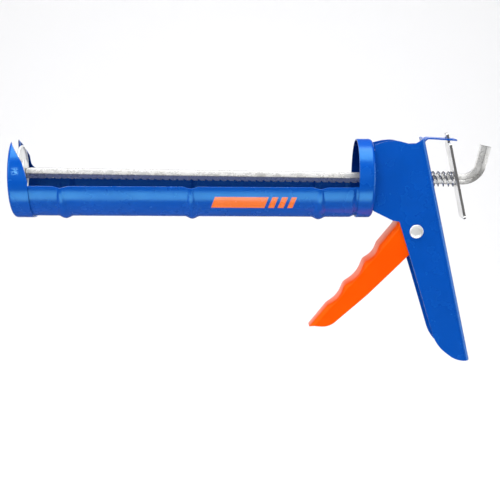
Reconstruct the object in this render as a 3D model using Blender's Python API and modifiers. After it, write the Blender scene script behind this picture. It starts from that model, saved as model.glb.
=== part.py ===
"""A half-barrel caulking gun for 310 ml cartridges, with a toothed hex rod and a pressed handle.

The barrel axis runs along X: the nozzle slot is at -X, the handle and the rod's hook at +X.
Sizes are in millimetres, measured from the point where the barrel axis meets the collar's mouth.
The model's own origin is on the back of the handle, where the palm rests, so that one parent
empty carries the whole gun from the barrel's frame to the grip's.
"""

import math

import bmesh
import bpy
from mathutils import Matrix, Vector

MM = 0.001
GAP = 0.3  # left between two pieces that touch

# Barrel: a half-round trough between a front cap and a rear collar
TROUGH_INNER = 26.1
TROUGH_SHEET = 0.9
TROUGH_EDGE_DROP = 3.4  # the trough's edges lie this far below the axis
TROUGH_NECK = 1.2  # the trough steps in by this much to enter the collar
TROUGH_NECK_FROM, TROUGH_NECK_TO = -4.8, -1.2
BARREL_LENGTH = 234.9  # from the cap's front wall to the collar's mouth
CAP_RADIUS = 28.25
COLLAR_RADIUS = 27.1
RIM_SHEET = 0.95
CAP_DEPTH = 13.6
CAP_CORNER = 2.2
PAD_RADIUS = 17.4  # the raised round pad pressed into the cap's front wall
PAD_RISE = 1.5
SLOT_HALF = 12.6  # the U-shaped slot for the cartridge's nozzle
COLLAR_DEPTH = 11.0
COLLAR_CORNER = 2.6
RIB_PLACES = (-200.0, -112.8, -25.6)
RIB_DEPTH = 1.75
RIB_HALF_WIDTH = 5.2
EDGE_DIP = 1.2  # how far a rib draws down the trough's edges
EDGE_DIP_HALF_WIDTH = 6.0

# Rod and plunger; the rod has play in its holes and rests with its front end raised
ROD_RISE = math.radians(0.54)
ROD_LEVEL_X = 35.0  # where the raised rod crosses the barrel axis
ROD_FLATS = 7.0
ROD_CORNER = ROD_FLATS / math.sqrt(3)
ROD_HOLE = ROD_CORNER + 0.36
ROD_FRONT = -227.2
HOOK_START = 74.1
HOOK_RADIUS = 12.5
HOOK_ANGLE = math.radians(78)
HOOK_TIP_HEIGHT = 23.3
STUB_RADIUS = 2.8
TOOTH_PITCH = 5.0
TOOTH_WIDTH = 2.2
TOOTH_DEPTH = 1.0
TOOTH_FIRST = -214.0
TOOTH_COUNT = 52
DISC_RADIUS = 18.8
DISC_SHEET = 1.0
DISC_FRONT = -231.3
DISC_DEPTH = 1.9
DISC_RECESS_RADIUS = 7.5  # the disc is dished round the rod's peened end
DISC_RECESS = 0.9
WASHER_RADIUS = 9.0

# Handle: a pressed channel, open to the front, with a tab bent back from its top
LEAN = math.radians(13.44)
SPINE_TOP = (46.2, 24.9)
HANDLE_HALF = 13.4
HANDLE_SHEET = 1.2
SPINE_BEND = 4.5
SPINE_SKIM = 0.02
SPINE_REACH = 120
HANDLE_FRONT = COLLAR_DEPTH + GAP
HANDLE_TOP = 28.4
RIGHT_SIDE_DROP = 1.2
HANDLE_BOTTOM = -127.3
TAB_END = 68.2
TAB_HALF = 6.2
TAB_SHEET = 1.0
GRIP_DROP = 60.9  # the palm's point on the handle's back lies this far below the barrel axis

# Trigger, pawl and their pins
PIVOT = (41.4, -35.1)
TRIGGER_HALF = 11.7
TRIGGER_TIP_HALF = 6.8
TRIGGER_TAPER_END = 75.0  # measured up the finger face from its tip, like the grooves
TRIGGER_SHEET = 1.2
TRIGGER_TIP = (-30.6, -104.9)
TRIGGER_HEAD = (27.7, -32.2)
GROOVES = ((19.0, 38.7, 1.9), (38.7, 60.3, 2.2), (60.3, 76.1, 1.7))  # each from, to and depth
GROOVE_EASE = 0.25  # rounds the crests between the grooves
TRIGGER_BEND = 3.2  # the face falls back by this much to the straight line where a side begins
FOLD = ((1.1, 0.0), (0.7, 0.22), (0.3, 0.58), (0.12, 0.76), (0.03, 0.88), (0.0, 1.0))
TRIGGER_TIP_STEP = 3.9  # a side begins this much higher up the face than the tip
PAWL_ARM = 22.0
PAWL_ANGLE = math.radians(15)
PAWL_HALF = 4.0
PAWL_TIP_DROP = 5.2
PIVOT_SHANK = 2.4
PIVOT_BUSH = 3.9
RIVET_HEAD = 4.8
RIVET_DOME = 1.6
PAWL_PIN = 2.0

# Bracket between the collar and the handle
BRACKET_HALF = 11.9
BRACKET_SHEET = 1.5
BRACKET_BACK = 24.0
BRACKET_TOP = 19.0
BRACKET_BOTTOM = -15.0
COLLAR_RIVETS = [(side * 7.5, height) for height in (12.0, -10.5) for side in (-1, 1)]
COLLAR_RIVET_SHANK = 1.5

# Catch plate behind the handle, and its spring
PLATE_SHEET = 1.8
PLATE_HALF = 7.75
PLATE_AXIS_X = 69.3  # where the plate crosses the barrel axis
PLATE_TOP = 32.3
PLATE_LENGTH = 60.7
PLATE_NECK_HALF = 3.6
PLATE_NECK_FROM = 25.2
PLATE_HINGE_HEIGHT = 27.4
SPRING_MEAN = 4.85
SPRING_WIRE = 1.0
SPRING_TURN_POINTS = 12

ROUND_STEPS = 48

AXES = {
    "X": Matrix(((0, 0, 1, 0), (1, 0, 0, 0), (0, 1, 0, 0), (0, 0, 0, 1))),
    "Y": Matrix(((1, 0, 0, 0), (0, 0, -1, 0), (0, 1, 0, 0), (0, 0, 0, 1))),
}


def spine_x(z):
    """Where the handle's back face is, at height z."""
    return SPINE_TOP[0] + (SPINE_TOP[1] - z) * math.tan(LEAN)


PAWL_PIVOT = (
    PIVOT[0] + PAWL_ARM * math.sin(PAWL_ANGLE),
    PIVOT[1] + PAWL_ARM * math.cos(PAWL_ANGLE),
)
PLATE_HINGE = (PLATE_AXIS_X - PLATE_HINGE_HEIGHT * math.tan(LEAN), PLATE_HINGE_HEIGHT)
ROD_LEVEL = Matrix.Translation((ROD_LEVEL_X * MM, 0, 0))
RAISED = ROD_LEVEL @ Matrix.Rotation(ROD_RISE, 4, "Y") @ ROD_LEVEL.inverted()


def raised(x):
    """The place on the rod's raised axis that would be at x if the rod lay level, in millimetres."""
    return RAISED @ Vector((x * MM, 0, 0)) / MM


# Each body's empty stands on its joint's axis, in the barrel's frame
BODY_ORIGINS = {
    "frame": Vector((0, 0, 0)),
    "plunger": raised(DISC_FRONT),
    "rod": raised(ROD_FRONT),
    "trigger": Vector((PIVOT[0], 0, PIVOT[1])),
    "pawl": Vector((PAWL_PIVOT[0], 0, PAWL_PIVOT[1])),
    "catch_plate": Vector((PLATE_HINGE[0], 0, PLATE_HINGE[1])),
}
BODY_PARENTS = {
    "plunger": "frame",
    "rod": "plunger",
    "trigger": "frame",
    "pawl": "trigger",
    "catch_plate": "frame",
}

FINISHES = {
    "blue_paint": ((0.0, 0.085, 0.42, 1), 0.28, 0.0),
    "orange_paint": ((1.0, 0.105, 0.0, 1), 0.3, 0.0),
    "zinc": ((0.62, 0.63, 0.62, 1), 0.3, 1.0),
    "rod_steel": ((0.7, 0.7, 0.69, 1), 0.2, 1.0),
    "spring_steel": ((0.5, 0.5, 0.5, 1), 0.25, 1.0),
}


def empty_scene():
    for obj in list(bpy.data.objects):
        bpy.data.objects.remove(obj, do_unlink=True)


def new_collection(name):
    collection = bpy.data.collections.new(name)
    bpy.context.scene.collection.children.link(collection)
    return collection


def make_bodies():
    """One empty for each body, parented as the bodies hang on each other."""
    empties = {}
    for name, origin in BODY_ORIGINS.items():
        empty = bpy.data.objects.new(name + "_axis", None)
        empty.empty_display_size = 0.01
        parent = BODY_PARENTS.get(name)
        if parent is None:
            empty.location = Vector((-spine_x(-GRIP_DROP), 0, GRIP_DROP)) * MM
        else:
            empty.parent = empties[parent]
            empty.location = (origin - BODY_ORIGINS[parent]) * MM
        parts.objects.link(empty)
        empties[name] = empty
    return empties


def paint(obj, finish):
    """A material of the object's own, with one of the gun's finishes."""
    colour, roughness, metallic = FINISHES[finish]
    material = bpy.data.materials.new(obj.name + "_" + finish)
    material.use_nodes = True
    shader = material.node_tree.nodes["Principled BSDF"]
    shader.inputs["Base Color"].default_value = colour
    shader.inputs["Roughness"].default_value = roughness
    shader.inputs["Metallic"].default_value = metallic
    obj.data.materials.clear()
    obj.data.materials.append(material)


def piece(name, mesh, body, finish, smooth=30):
    """A named sub-part, from a mesh in the barrel's frame, hung on its body's empty."""
    mesh.name = name
    mesh.transform(Matrix.Translation(-BODY_ORIGINS[body] * MM))
    obj = bpy.data.objects.new(name, mesh)
    obj.parent = bodies[body]
    parts.objects.link(obj)
    paint(obj, finish)
    mesh.shade_smooth()
    mesh.set_sharp_from_angle(angle=math.radians(smooth))
    return obj


def tool(name, mesh, body="frame"):
    """A hidden mesh that cuts a piece, or is joined to it."""
    mesh.transform(Matrix.Translation(-BODY_ORIGINS[body] * MM))
    obj = bpy.data.objects.new(name, mesh)
    obj.parent = bodies[body]
    obj.hide_render = True
    obj.display_type = "WIRE"
    cutters.objects.link(obj)
    return obj


def boolean(target, operand, operation="DIFFERENCE"):
    modifier = target.modifiers.new(operand.name, "BOOLEAN")
    modifier.object = operand
    modifier.operation = operation
    modifier.solver = "EXACT"


def cut(target, name, mesh, body="frame"):
    boolean(target, tool(name, mesh, body))


def mesh_of(obj, merge=1e-6):
    """The evaluated mesh of a scratch object, welded, with flat faces whole; the object goes."""
    bpy.context.scene.collection.objects.link(obj)
    bpy.context.view_layer.update()
    graph = bpy.context.evaluated_depsgraph_get()
    mesh = bpy.data.meshes.new_from_object(obj.evaluated_get(graph))
    mesh.transform(obj.matrix_world)
    bpy.data.objects.remove(obj, do_unlink=True)
    shape = bmesh.new()
    shape.from_mesh(mesh)
    bmesh.ops.remove_doubles(shape, verts=shape.verts, dist=merge)
    bmesh.ops.dissolve_limit(
        shape, angle_limit=math.radians(0.05), verts=shape.verts, edges=shape.edges
    )
    bmesh.ops.recalc_face_normals(shape, faces=shape.faces)
    shape.to_mesh(mesh)
    shape.free()
    return mesh


def prism(outline, axis, start, end):
    """A flat outline thickened along an axis: (x, z) points along Y, (y, z) points along X."""
    curve = bpy.data.curves.new("outline", "CURVE")
    curve.dimensions = "2D"
    curve.fill_mode = "BOTH"
    curve.extrude = abs(end - start) / 2 * MM
    spline = curve.splines.new("POLY")
    spline.points.add(len(outline) - 1)
    for point, (across, up) in zip(spline.points, outline):
        point.co = (across * MM, up * MM, 0, 1)
    spline.use_cyclic_u = True
    obj = bpy.data.objects.new("outline", curve)
    middle = (start + end) / 2 * MM
    shift = Vector((middle, 0, 0)) if axis == "X" else Vector((0, middle, 0))
    obj.matrix_world = Matrix.Translation(shift) @ AXES[axis]
    return mesh_of(obj)


def cylinder(axis, centre, radius, start, end, steps=32):
    """A round bar along X or Y; centre is its (y, z) or (x, z)."""
    middle = (start + end) / 2
    place = (middle, *centre) if axis == "X" else (centre[0], middle, centre[1])
    shape = bmesh.new()
    bmesh.ops.create_cone(
        shape, cap_ends=True, segments=steps, radius1=radius * MM, radius2=radius * MM,
        depth=abs(end - start) * MM, matrix=Matrix.Translation(Vector(place) * MM) @ AXES[axis],
    )
    mesh = bpy.data.meshes.new("cylinder")
    shape.to_mesh(mesh)
    shape.free()
    return mesh


def turned(profile, axis="X", centre=(0, 0), steps=ROUND_STEPS, closed=False):
    """A profile of (place along the axis, radius) turned about it, its outer side from +axis to -axis."""
    lines = bpy.data.meshes.new("profile")
    points = [(radius * MM, 0, along * MM) for along, radius in profile]
    edges = [(index, index + 1) for index in range(len(points) - 1)]
    if closed:
        edges.append((len(points) - 1, 0))
    lines.from_pydata(points, edges, [])
    obj = bpy.data.objects.new("profile", lines)
    screw = obj.modifiers.new("turn", "SCREW")
    screw.axis = "Z"
    screw.steps = screw.render_steps = steps
    screw.use_merge_vertices = True
    screw.merge_threshold = 1e-6
    place = (0, *centre) if axis == "X" else (centre[0], 0, centre[1])
    obj.matrix_world = Matrix.Translation(Vector(place) * MM) @ AXES[axis]
    return mesh_of(obj)


def arc(centre, radius, start, end, steps=6):
    """Points on an arc, from one angle to another, in degrees."""
    points = []
    for step in range(steps + 1):
        angle = math.radians(start + (end - start) * step / steps)
        points.append((centre[0] + radius * math.cos(angle), centre[1] + radius * math.sin(angle)))
    return points


def rounded(corners):
    """An outline of (across, up, corner radius) corners, with each corner an arc."""
    outline = []
    count = len(corners)
    for index, (across, up, radius) in enumerate(corners):
        here = Vector((across, up))
        if radius <= 0:
            outline.append((across, up))
            continue
        back = (Vector(corners[index - 1][:2]) - here).normalized()
        ahead = (Vector(corners[(index + 1) % count][:2]) - here).normalized()
        half = back.angle(ahead) / 2
        centre = here + (back + ahead).normalized() * (radius / math.sin(half))
        first = here + back * (radius / math.tan(half)) - centre
        sweep = math.copysign(math.pi - 2 * half, back.y * ahead.x - back.x * ahead.y)
        steps = max(2, math.ceil(abs(sweep) / math.radians(15)))
        for step in range(steps + 1):
            angle = sweep * step / steps
            spoke = first.copy()
            spoke.rotate(Matrix.Rotation(angle, 2))
            outline.append(tuple(centre + spoke))
    return outline


def bevel_edges(mesh, chosen, radius, steps=4):
    """Rounds the edges whose two ends both pass the test."""
    shape = bmesh.new()
    shape.from_mesh(mesh)
    edges = [e for e in shape.edges if all(chosen(v.co / MM) for v in e.verts)]
    bmesh.ops.bevel(
        shape, geom=edges, offset=radius * MM, offset_type="OFFSET", segments=steps,
        profile=0.5, affect="EDGES", clamp_overlap=True,
    )
    shape.to_mesh(mesh)
    shape.free()
    return mesh


def wire(points, thickness, sides=2):
    """A round wire through the points, in millimetres, with closed ends."""
    curve = bpy.data.curves.new("wire", "CURVE")
    curve.dimensions = "3D"
    curve.bevel_depth = thickness / 2 * MM
    curve.bevel_resolution = sides
    curve.use_fill_caps = True
    spline = curve.splines.new("POLY")
    spline.points.add(len(points) - 1)
    for point, place in zip(spline.points, points):
        point.co = (*(Vector(place) * MM), 1)
    return mesh_of(bpy.data.objects.new("wire", curve))


def bump(distance, half_width):
    """A smooth hump, 1 in the middle and 0 from the half width on."""
    share = min(abs(distance) / half_width, 1.0)
    return math.cos(share * math.pi / 2) ** 2


def trough_point(x, share):
    """The trough's inner face, at x, share being -1 at one edge and +1 at the other."""
    dip = sum(bump(x - rib, EDGE_DIP_HALF_WIDTH) for rib in RIB_PLACES) * EDGE_DIP
    reach = math.acos((TROUGH_EDGE_DROP + dip) / TROUGH_INNER)
    angle = reach * share
    narrowing = 0.25 + 0.75 * math.cos(angle)
    swell = sum(bump(x - rib, RIB_HALF_WIDTH * narrowing) for rib in RIB_PLACES)
    neck = min(max((x - TROUGH_NECK_FROM) / (TROUGH_NECK_TO - TROUGH_NECK_FROM), 0), 1)
    step_in = TROUGH_NECK * (1 - math.cos(math.pi * neck)) / 2
    radius = TROUGH_INNER - step_in + swell * RIB_DEPTH * (0.15 + 0.85 * math.cos(angle))
    return Vector((x, radius * math.sin(angle), -radius * math.cos(angle))) * MM


def make_trough():
    """A half-round sheet with three ribs swaged outward, its ends inside the cap and the collar."""
    ends = (-BARREL_LENGTH + RIM_SHEET + CAP_CORNER, COLLAR_DEPTH - COLLAR_CORNER)
    stations = {ends[0], ends[1]}
    for rib in RIB_PLACES:
        stations.update(rib + EDGE_DIP_HALF_WIDTH * step / 4 for step in range(-4, 5))
    stations.update((-156.0, -69.0))
    stations.update(
        TROUGH_NECK_FROM + (TROUGH_NECK_TO - TROUGH_NECK_FROM) * step / 4 for step in range(5)
    )
    stations = sorted(stations)
    around = 20
    shape = bmesh.new()
    bmesh.ops.create_grid(shape, x_segments=len(stations) - 1, y_segments=around, size=1)
    for vertex in shape.verts:
        column = round((vertex.co.x + 1) / 2 * (len(stations) - 1))
        vertex.co = trough_point(stations[column], vertex.co.y)
    mesh = bpy.data.meshes.new("cradle")
    shape.to_mesh(mesh)
    shape.free()
    cradle = piece("cradle", mesh, "frame", "blue_paint")
    sheet = cradle.modifiers.new("sheet", "SOLIDIFY")
    sheet.thickness = TROUGH_SHEET * MM
    sheet.offset = -1
    sheet.use_even_offset = True


def make_cap():
    """A pressed cup with a raised pad, a nozzle slot, and a rim that sweeps up into two ears.

    The right ear, at +Y, is swept 5 mm narrower than the left one.
    """
    front = -BARREL_LENGTH
    inner = CAP_RADIUS - RIM_SHEET
    wall = front + RIM_SHEET
    pad = front - PAD_RISE
    rear = front + CAP_DEPTH
    profile = [(pad + RIM_SHEET, 0), (pad + RIM_SHEET, PAD_RADIUS - 1.6), (wall, PAD_RADIUS - 0.4)]
    bend = CAP_CORNER - RIM_SHEET
    profile += arc((wall + bend, inner - bend), bend, 180, 90, 4)
    profile += [(rear, inner), (rear, CAP_RADIUS)]
    profile += arc((front + CAP_CORNER, CAP_RADIUS - CAP_CORNER), CAP_CORNER, 90, 180, 5)
    profile += [(front, PAD_RADIUS + 0.6), (pad + 0.4, PAD_RADIUS - 0.6), (pad, PAD_RADIUS - 1.4), (pad, 0)]
    cap = piece("front_cap", turned(profile), "frame", "blue_paint")
    slot = arc((0, 0), SLOT_HALF, 180, 360, 16) + [(SLOT_HALF, 40), (-SLOT_HALF, 40)]
    cut(cap, "nozzle_slot", prism(slot, "X", front - 10, rear + 10))
    behind = [(rear + 0.2, -4, 0), (rear + 20, -4, 0), (rear + 20, 40, 0)]
    left = [(front + 0.9, 40, 0), (front + 0.9, 24.2, 0), (front + 9.7, 12.4, 3), (front + 12.4, 5, 6),
            (rear + 0.2, -1.5, 4)]
    right = [(front + 0.6, 40, 0), (front + 0.6, 23.4, 0), (front + 5.1, 12, 3), (front + 5.7, 5.5, 4),
             (rear + 0.2, -2.5, 4)]
    cut(cap, "left_ear_sweep", prism(rounded(left + behind), "Y", -40, 0))
    cut(cap, "right_ear_sweep", prism(rounded(right + behind), "Y", 0, 40))


def make_collar():
    """A pressed cup that holds the cartridge's tail; the rod passes through its back wall."""
    inner = COLLAR_RADIUS - RIM_SHEET
    back = COLLAR_DEPTH
    bend = COLLAR_CORNER - RIM_SHEET
    profile = [(0, inner)]
    profile += arc((back - COLLAR_CORNER, inner - bend), bend, 90, 0, 4)
    profile += [(back - RIM_SHEET, ROD_HOLE), (back, ROD_HOLE)]
    profile += arc((back - COLLAR_CORNER, COLLAR_RADIUS - COLLAR_CORNER), COLLAR_CORNER, 0, 90, 6)
    profile += [(0, COLLAR_RADIUS)]
    collar = piece("rear_collar", turned(profile, closed=True), "frame", "blue_paint")
    for number, centre in enumerate(COLLAR_RIVETS, 1):
        hole = cylinder("X", centre, COLLAR_RIVET_SHANK + GAP, back - 5, back + 5, 16)
        cut(collar, f"collar_rivet_hole_{number}", hole)


def make_bracket():
    """A small channel inside the handle, riveted to the collar's back wall."""
    front = HANDLE_FRONT
    outline = [
        (front, BRACKET_TOP, 0), (front, BRACKET_BOTTOM, 0),
        (BRACKET_BACK, BRACKET_BOTTOM, 3), (BRACKET_BACK, BRACKET_TOP, 3),
    ]
    outer = prism(rounded(outline), "Y", -BRACKET_HALF, BRACKET_HALF)
    bevel_edges(outer, lambda v: abs(v.x - front) < 0.01 and abs(v.y) > BRACKET_HALF - 0.01, 2.0)
    bracket = piece("front_bracket", outer, "frame", "zinc")
    inside = BRACKET_HALF - BRACKET_SHEET
    block = [(front + BRACKET_SHEET, 40), (front + BRACKET_SHEET, -40), (60, -40), (60, 40)]
    cut(bracket, "bracket_inside", prism(block, "Y", -inside, inside))
    cut(bracket, "bracket_rod_hole", cylinder("X", (0, 0), ROD_HOLE, front - 5, front + 5))
    for number, centre in enumerate(COLLAR_RIVETS, 1):
        hole = cylinder("X", centre, COLLAR_RIVET_SHANK + GAP, front - 5, front + 5, 16)
        cut(bracket, f"bracket_rivet_hole_{number}", hole)
        make_collar_rivet(number, centre)


def make_collar_rivet(number, centre):
    shank = COLLAR_RIVET_SHANK
    head = COLLAR_DEPTH - RIM_SHEET - GAP
    tail = HANDLE_FRONT + BRACKET_SHEET + GAP
    profile = [(tail + 1.0, 0), (tail + 1.0, shank + 0.5), (tail + 0.6, shank + 1.0), (tail, shank + 1.0)]
    profile += [(tail, shank), (head, shank), (head, shank + 1.5), (head - 0.5, shank + 1.4)]
    profile += [(head - 1.0, shank + 0.7), (head - 1.2, 0)]
    piece(f"collar_rivet_{number}", turned(profile, "X", centre, 12), "frame", "zinc")


def handle_outline():
    """The side of the handle: hump, back, curved foot and front edge."""
    foot = HANDLE_BOTTOM
    return rounded([
        (HANDLE_FRONT, 24.2, 0.8), (19.0, 26.5, 14), (26.0, 27.2, 16), (37.6, 24.2, 7),
        (43.6, HANDLE_TOP - 0.4, 2), (spine_x(HANDLE_TOP), HANDLE_TOP, 0),
        (spine_x(foot), foot, 1.2), (72.5, -127.2, 18), (58.0, -116.0, 26),
        (44.2, -73.0, 80), (29.5, -28.3, 1.6), (25.0, -27.7, 3), (HANDLE_FRONT, -21.0, 0.8),
    ])


def right_side_drop():
    """What is taken off the top of the handle's right side plate, which stands lower than the left."""
    line = [(0.0, 21.9, 0), (19.0, 26.5, 14), (26.0, 27.2, 16), (37.6, 24.2, 7)]
    lowered = [(x, z - RIGHT_SIDE_DROP, radius) for x, z, radius in line]
    return rounded(lowered + [(50.0, 23.6, 0), (50.0, 40.0, 0), (0.0, 40.0, 0)])


def tab_outline():
    """The tab's edge: up from the spine, over a bend and back, slightly down."""
    lean = Vector((-math.sin(LEAN), math.cos(LEAN)))
    start = Vector((spine_x(20.0), 20.0))
    top = start + lean * 8.0
    tip = Vector((TAB_END, 26.5))
    inward = Vector((-lean.y, lean.x)) * TAB_SHEET
    along = (tip - top).normalized()
    up = Vector((-along.y, along.x)) * TAB_SHEET
    corner = top + inward + up + lean * 0.2
    return rounded([
        (*(start - lean * 3), 0), (*top, 3.0), (*tip, 0), (*(tip + up), 0.4), (*corner, 4.0),
        (*(start - lean * 3 + inward), 0),
    ])


def spine_bar(half, depth, radius, steps):
    """A long bar along the handle's back, its rear face this deep, its rear corners round."""
    low = -depth - radius
    outline = [(-half, -SPINE_REACH), (half, -SPINE_REACH)]
    outline += arc((half - radius, low), radius, 0, 90, steps)
    outline += arc((radius - half, low), radius, 90, 180, steps)
    mesh = prism(outline, "X", -SPINE_REACH, 2 * SPINE_REACH)
    turn = Matrix.Rotation(math.pi / 2 - LEAN, 4, "Y")
    mesh.transform(Matrix.Translation(Vector((SPINE_TOP[0], 0, SPINE_TOP[1])) * MM) @ turn)
    return mesh


def make_handle():
    """A channel of pressed sheet: two side plates, a leaning back and the catch plate's tab."""
    outer = prism(handle_outline(), "Y", -HANDLE_HALF - 2, HANDLE_HALF + 2)
    handle = piece("handle", outer, "frame", "blue_paint")
    boolean(handle, tool("handle_width", spine_bar(HANDLE_HALF, SPINE_SKIM, SPINE_BEND, 6)), "INTERSECT")
    inside = HANDLE_HALF - HANDLE_SHEET
    cut(handle, "handle_inside", spine_bar(inside, HANDLE_SHEET, SPINE_BEND - HANDLE_SHEET, 5))
    tab = prism(tab_outline(), "Y", -TAB_HALF, TAB_HALF)
    cut(handle, "right_side_drop", prism(right_side_drop(), "Y", TAB_HALF + GAP, HANDLE_HALF + 1))
    boolean(handle, tool("catch_tab", tab), "UNION")
    hinge = PLATE_HINGE[0]
    window = [(hinge - 1.9, 20), (hinge + 1.9, 20), (hinge + 1.9, 34), (hinge - 1.9, 34)]
    half = PLATE_NECK_HALF + 0.5
    cut(handle, "tab_slot", prism(window, "Y", -half, half))
    cut(handle, "spine_rod_hole", cylinder("X", (0, 0), ROD_HOLE, 42, 62))
    cut(handle, "pivot_holes", cylinder("Y", PIVOT, PIVOT_SHANK + GAP, -30, 30))


def make_pivot():
    """The rivet that the trigger swings on, and the bush that keeps the channels apart."""
    face = HANDLE_HALF + GAP
    half = [(face + RIVET_DOME * rise, RIVET_HEAD * reach) for rise, reach in
            ((1.0, 0), (0.97, 0.35), (0.82, 0.66), (0.5, 0.9), (0.25, 1.0), (0, 1.0))]
    half.append((face, PIVOT_SHANK))
    profile = half + [(-along, radius) for along, radius in reversed(half)]
    piece("pivot_rivet", turned(profile, "Y", PIVOT, 24), "frame", "zinc")
    bush_end = TRIGGER_HALF - TRIGGER_SHEET - GAP
    tube = [(bush_end, PIVOT_BUSH), (-bush_end, PIVOT_BUSH), (-bush_end, PIVOT_SHANK + GAP),
            (bush_end, PIVOT_SHANK + GAP)]
    piece("pivot_bush", turned(tube, "Y", PIVOT, 24, closed=True), "frame", "zinc")


def groove_depth(place):
    """The finger grooves' depth at a place on the face."""
    for start, end, depth in GROOVES:
        if start <= place <= end:
            swing = math.sin(math.pi * (place - start) / (end - start))
            eased = math.hypot(swing, GROOVE_EASE) - GROOVE_EASE
            return depth * eased / (math.hypot(1, GROOVE_EASE) - GROOVE_EASE)
    return 0.0


def face_place(point):
    """How far up the finger face a point is, from the tip."""
    tip, head = Vector(TRIGGER_TIP), Vector(TRIGGER_HEAD)
    return (Vector(point) - tip).dot((head - tip).normalized())


def trigger_front(share, sheet=0.0):
    """The finger face from the tip up, share going from 0 on the face to 1 where a side begins.

    The grooves fade out over the bend, so that the sides begin on a straight line.
    """
    tip, head = Vector(TRIGGER_TIP), Vector(TRIGGER_HEAD)
    along = (head - tip).normalized()
    back = Vector((along.y, -along.x))
    steps = 8
    places = [0.0, GROOVES[0][0] - 3.0, GROOVES[-1][1], (head - tip).length]
    for start, end, _ in GROOVES:
        places += [start + (end - start) * step / steps for step in range(steps)]
    points = []
    for place in sorted(places):
        place += TRIGGER_TIP_STEP * share * max(1 - place / GROOVES[0][0], 0)
        sunk = (groove_depth(place) + sheet) * (1 - share) + TRIGGER_BEND * share
        points.append(tuple(tip + along * place + back * sunk))
    return points


def bent_prism(front, rest, half, bend):
    """A prism along Y whose front face slopes back to its two sides and folds over into them.

    front(share) gives the face's line, from the face at 0 to a side's start at 1; rest holds the
    outline's other points.
    """
    layers = [(half - bend * inset, share) for inset, share in FOLD]
    layers = [(-y, share) for y, share in reversed(layers)] + layers
    shape = bmesh.new()
    rings = []
    for y, share in layers:
        outline = front(share) + rest
        rings.append([shape.verts.new(Vector((x, y, z)) * MM) for x, z in outline])
    for ring, following in zip(rings, rings[1:]):
        for index in range(len(ring)):
            after = (index + 1) % len(ring)
            shape.faces.new((ring[index], ring[after], following[after], following[index]))
    shape.faces.new(rings[0])
    shape.faces.new(rings[-1])
    bmesh.ops.recalc_face_normals(shape, faces=shape.faces)
    bmesh.ops.triangulate(shape, faces=shape.faces)
    mesh = bpy.data.meshes.new("bent_prism")
    shape.to_mesh(mesh)
    shape.free()
    return mesh


def tapered(mesh, half):
    """Draws a trigger-shaped mesh in towards the finger face's tip; half is its own half width."""
    tip, head = Vector(TRIGGER_TIP), Vector(TRIGGER_HEAD)
    along = (head - tip).normalized()
    start = (tip + along * TRIGGER_TAPER_END) * MM
    shape = bmesh.new()
    shape.from_mesh(mesh)
    bmesh.ops.bisect_plane(
        shape, geom=shape.verts[:] + shape.edges[:] + shape.faces[:],
        plane_co=(start.x, 0, start.y), plane_no=(along.x, 0, along.y),
    )
    for vertex in shape.verts:
        place = face_place((vertex.co.x / MM, vertex.co.z / MM))
        share = min(place / TRIGGER_TAPER_END, 1)
        taken = (TRIGGER_HALF - TRIGGER_TIP_HALF) * (1 - share)
        vertex.co.y *= (half - taken) / half
    bmesh.ops.triangulate(shape, faces=shape.faces)
    shape.to_mesh(mesh)
    shape.free()
    return mesh


def make_trigger():
    """A channel nested in the handle: finger face in front, a lobe above the pivot for the pawl."""
    lobe = arc(PAWL_PIVOT, 5.2, 150, -30, 8)
    heel = arc(PIVOT, 7.5, 10, -50, 4)
    belly = rounded([
        (38.8, -50.0, 0), (9.5, -80.6, 120), (-16.8, -104.8, 13), (-26.2, -104.2, 0),
    ])
    outline = [(31.5, -24.0)] + lobe + heel + belly
    outer = bent_prism(trigger_front, outline, TRIGGER_HALF, TRIGGER_BEND)
    trigger = piece("trigger", tapered(outer, TRIGGER_HALF), "trigger", "orange_paint")
    inside = TRIGGER_HALF - TRIGGER_SHEET
    run = (Vector(TRIGGER_HEAD) - Vector(TRIGGER_TIP)).normalized() * 12

    def inner_front(share):
        line = trigger_front(share, TRIGGER_SHEET)
        return [tuple(Vector(line[0]) - run)] + line + [tuple(Vector(line[-1]) + run)]

    room = [(30, 20), (90, 20), (90, -140), (-20, -140)]
    hollow = tapered(bent_prism(inner_front, room, inside, TRIGGER_BEND - TRIGGER_SHEET), inside)
    cut(trigger, "trigger_inside", hollow, "trigger")
    cut(trigger, "trigger_pivot_hole", cylinder("Y", PIVOT, PIVOT_SHANK + GAP, -30, 30), "trigger")
    cut(trigger, "trigger_pawl_hole", cylinder("Y", PAWL_PIVOT, PAWL_PIN + GAP, -30, 30, 24), "trigger")


def make_pawl():
    """The dog that pushes the rod's teeth forward, on its pin in the trigger's lobe."""
    x, z = PAWL_PIVOT
    tip_z = -PAWL_TIP_DROP
    outline = [(x - 16.6, tip_z), (x - 14.4, tip_z - 0.7), (x - 6.0, tip_z - 3.9)]
    outline += arc(PAWL_PIVOT, 4.6, 100, -120, 10)
    outline += [(x - 12.5, tip_z - 5.6), (x - 15.6, tip_z - 3.2)]
    pawl = piece("drive_pawl", prism(outline, "Y", -PAWL_HALF, PAWL_HALF), "pawl", "zinc")
    cut(pawl, "pawl_bore", cylinder("Y", PAWL_PIVOT, PAWL_PIN + GAP, -30, 30, 24), "pawl")
    end = TRIGGER_HALF - 0.1
    piece("pawl_pin", cylinder("Y", PAWL_PIVOT, PAWL_PIN, -end, end, 24), "trigger", "zinc")
    inner, outer = PAWL_HALF + 0.4, TRIGGER_HALF - TRIGGER_SHEET - GAP
    tube = [(outer, 3.6), (inner, 3.6), (inner, PAWL_PIN + GAP), (outer, PAWL_PIN + GAP)]
    spacer = turned([(-along, radius) for along, radius in tube][::-1], "Y", PAWL_PIVOT, 24, closed=True)
    piece("pawl_spacer", spacer, "trigger", "zinc")


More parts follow.
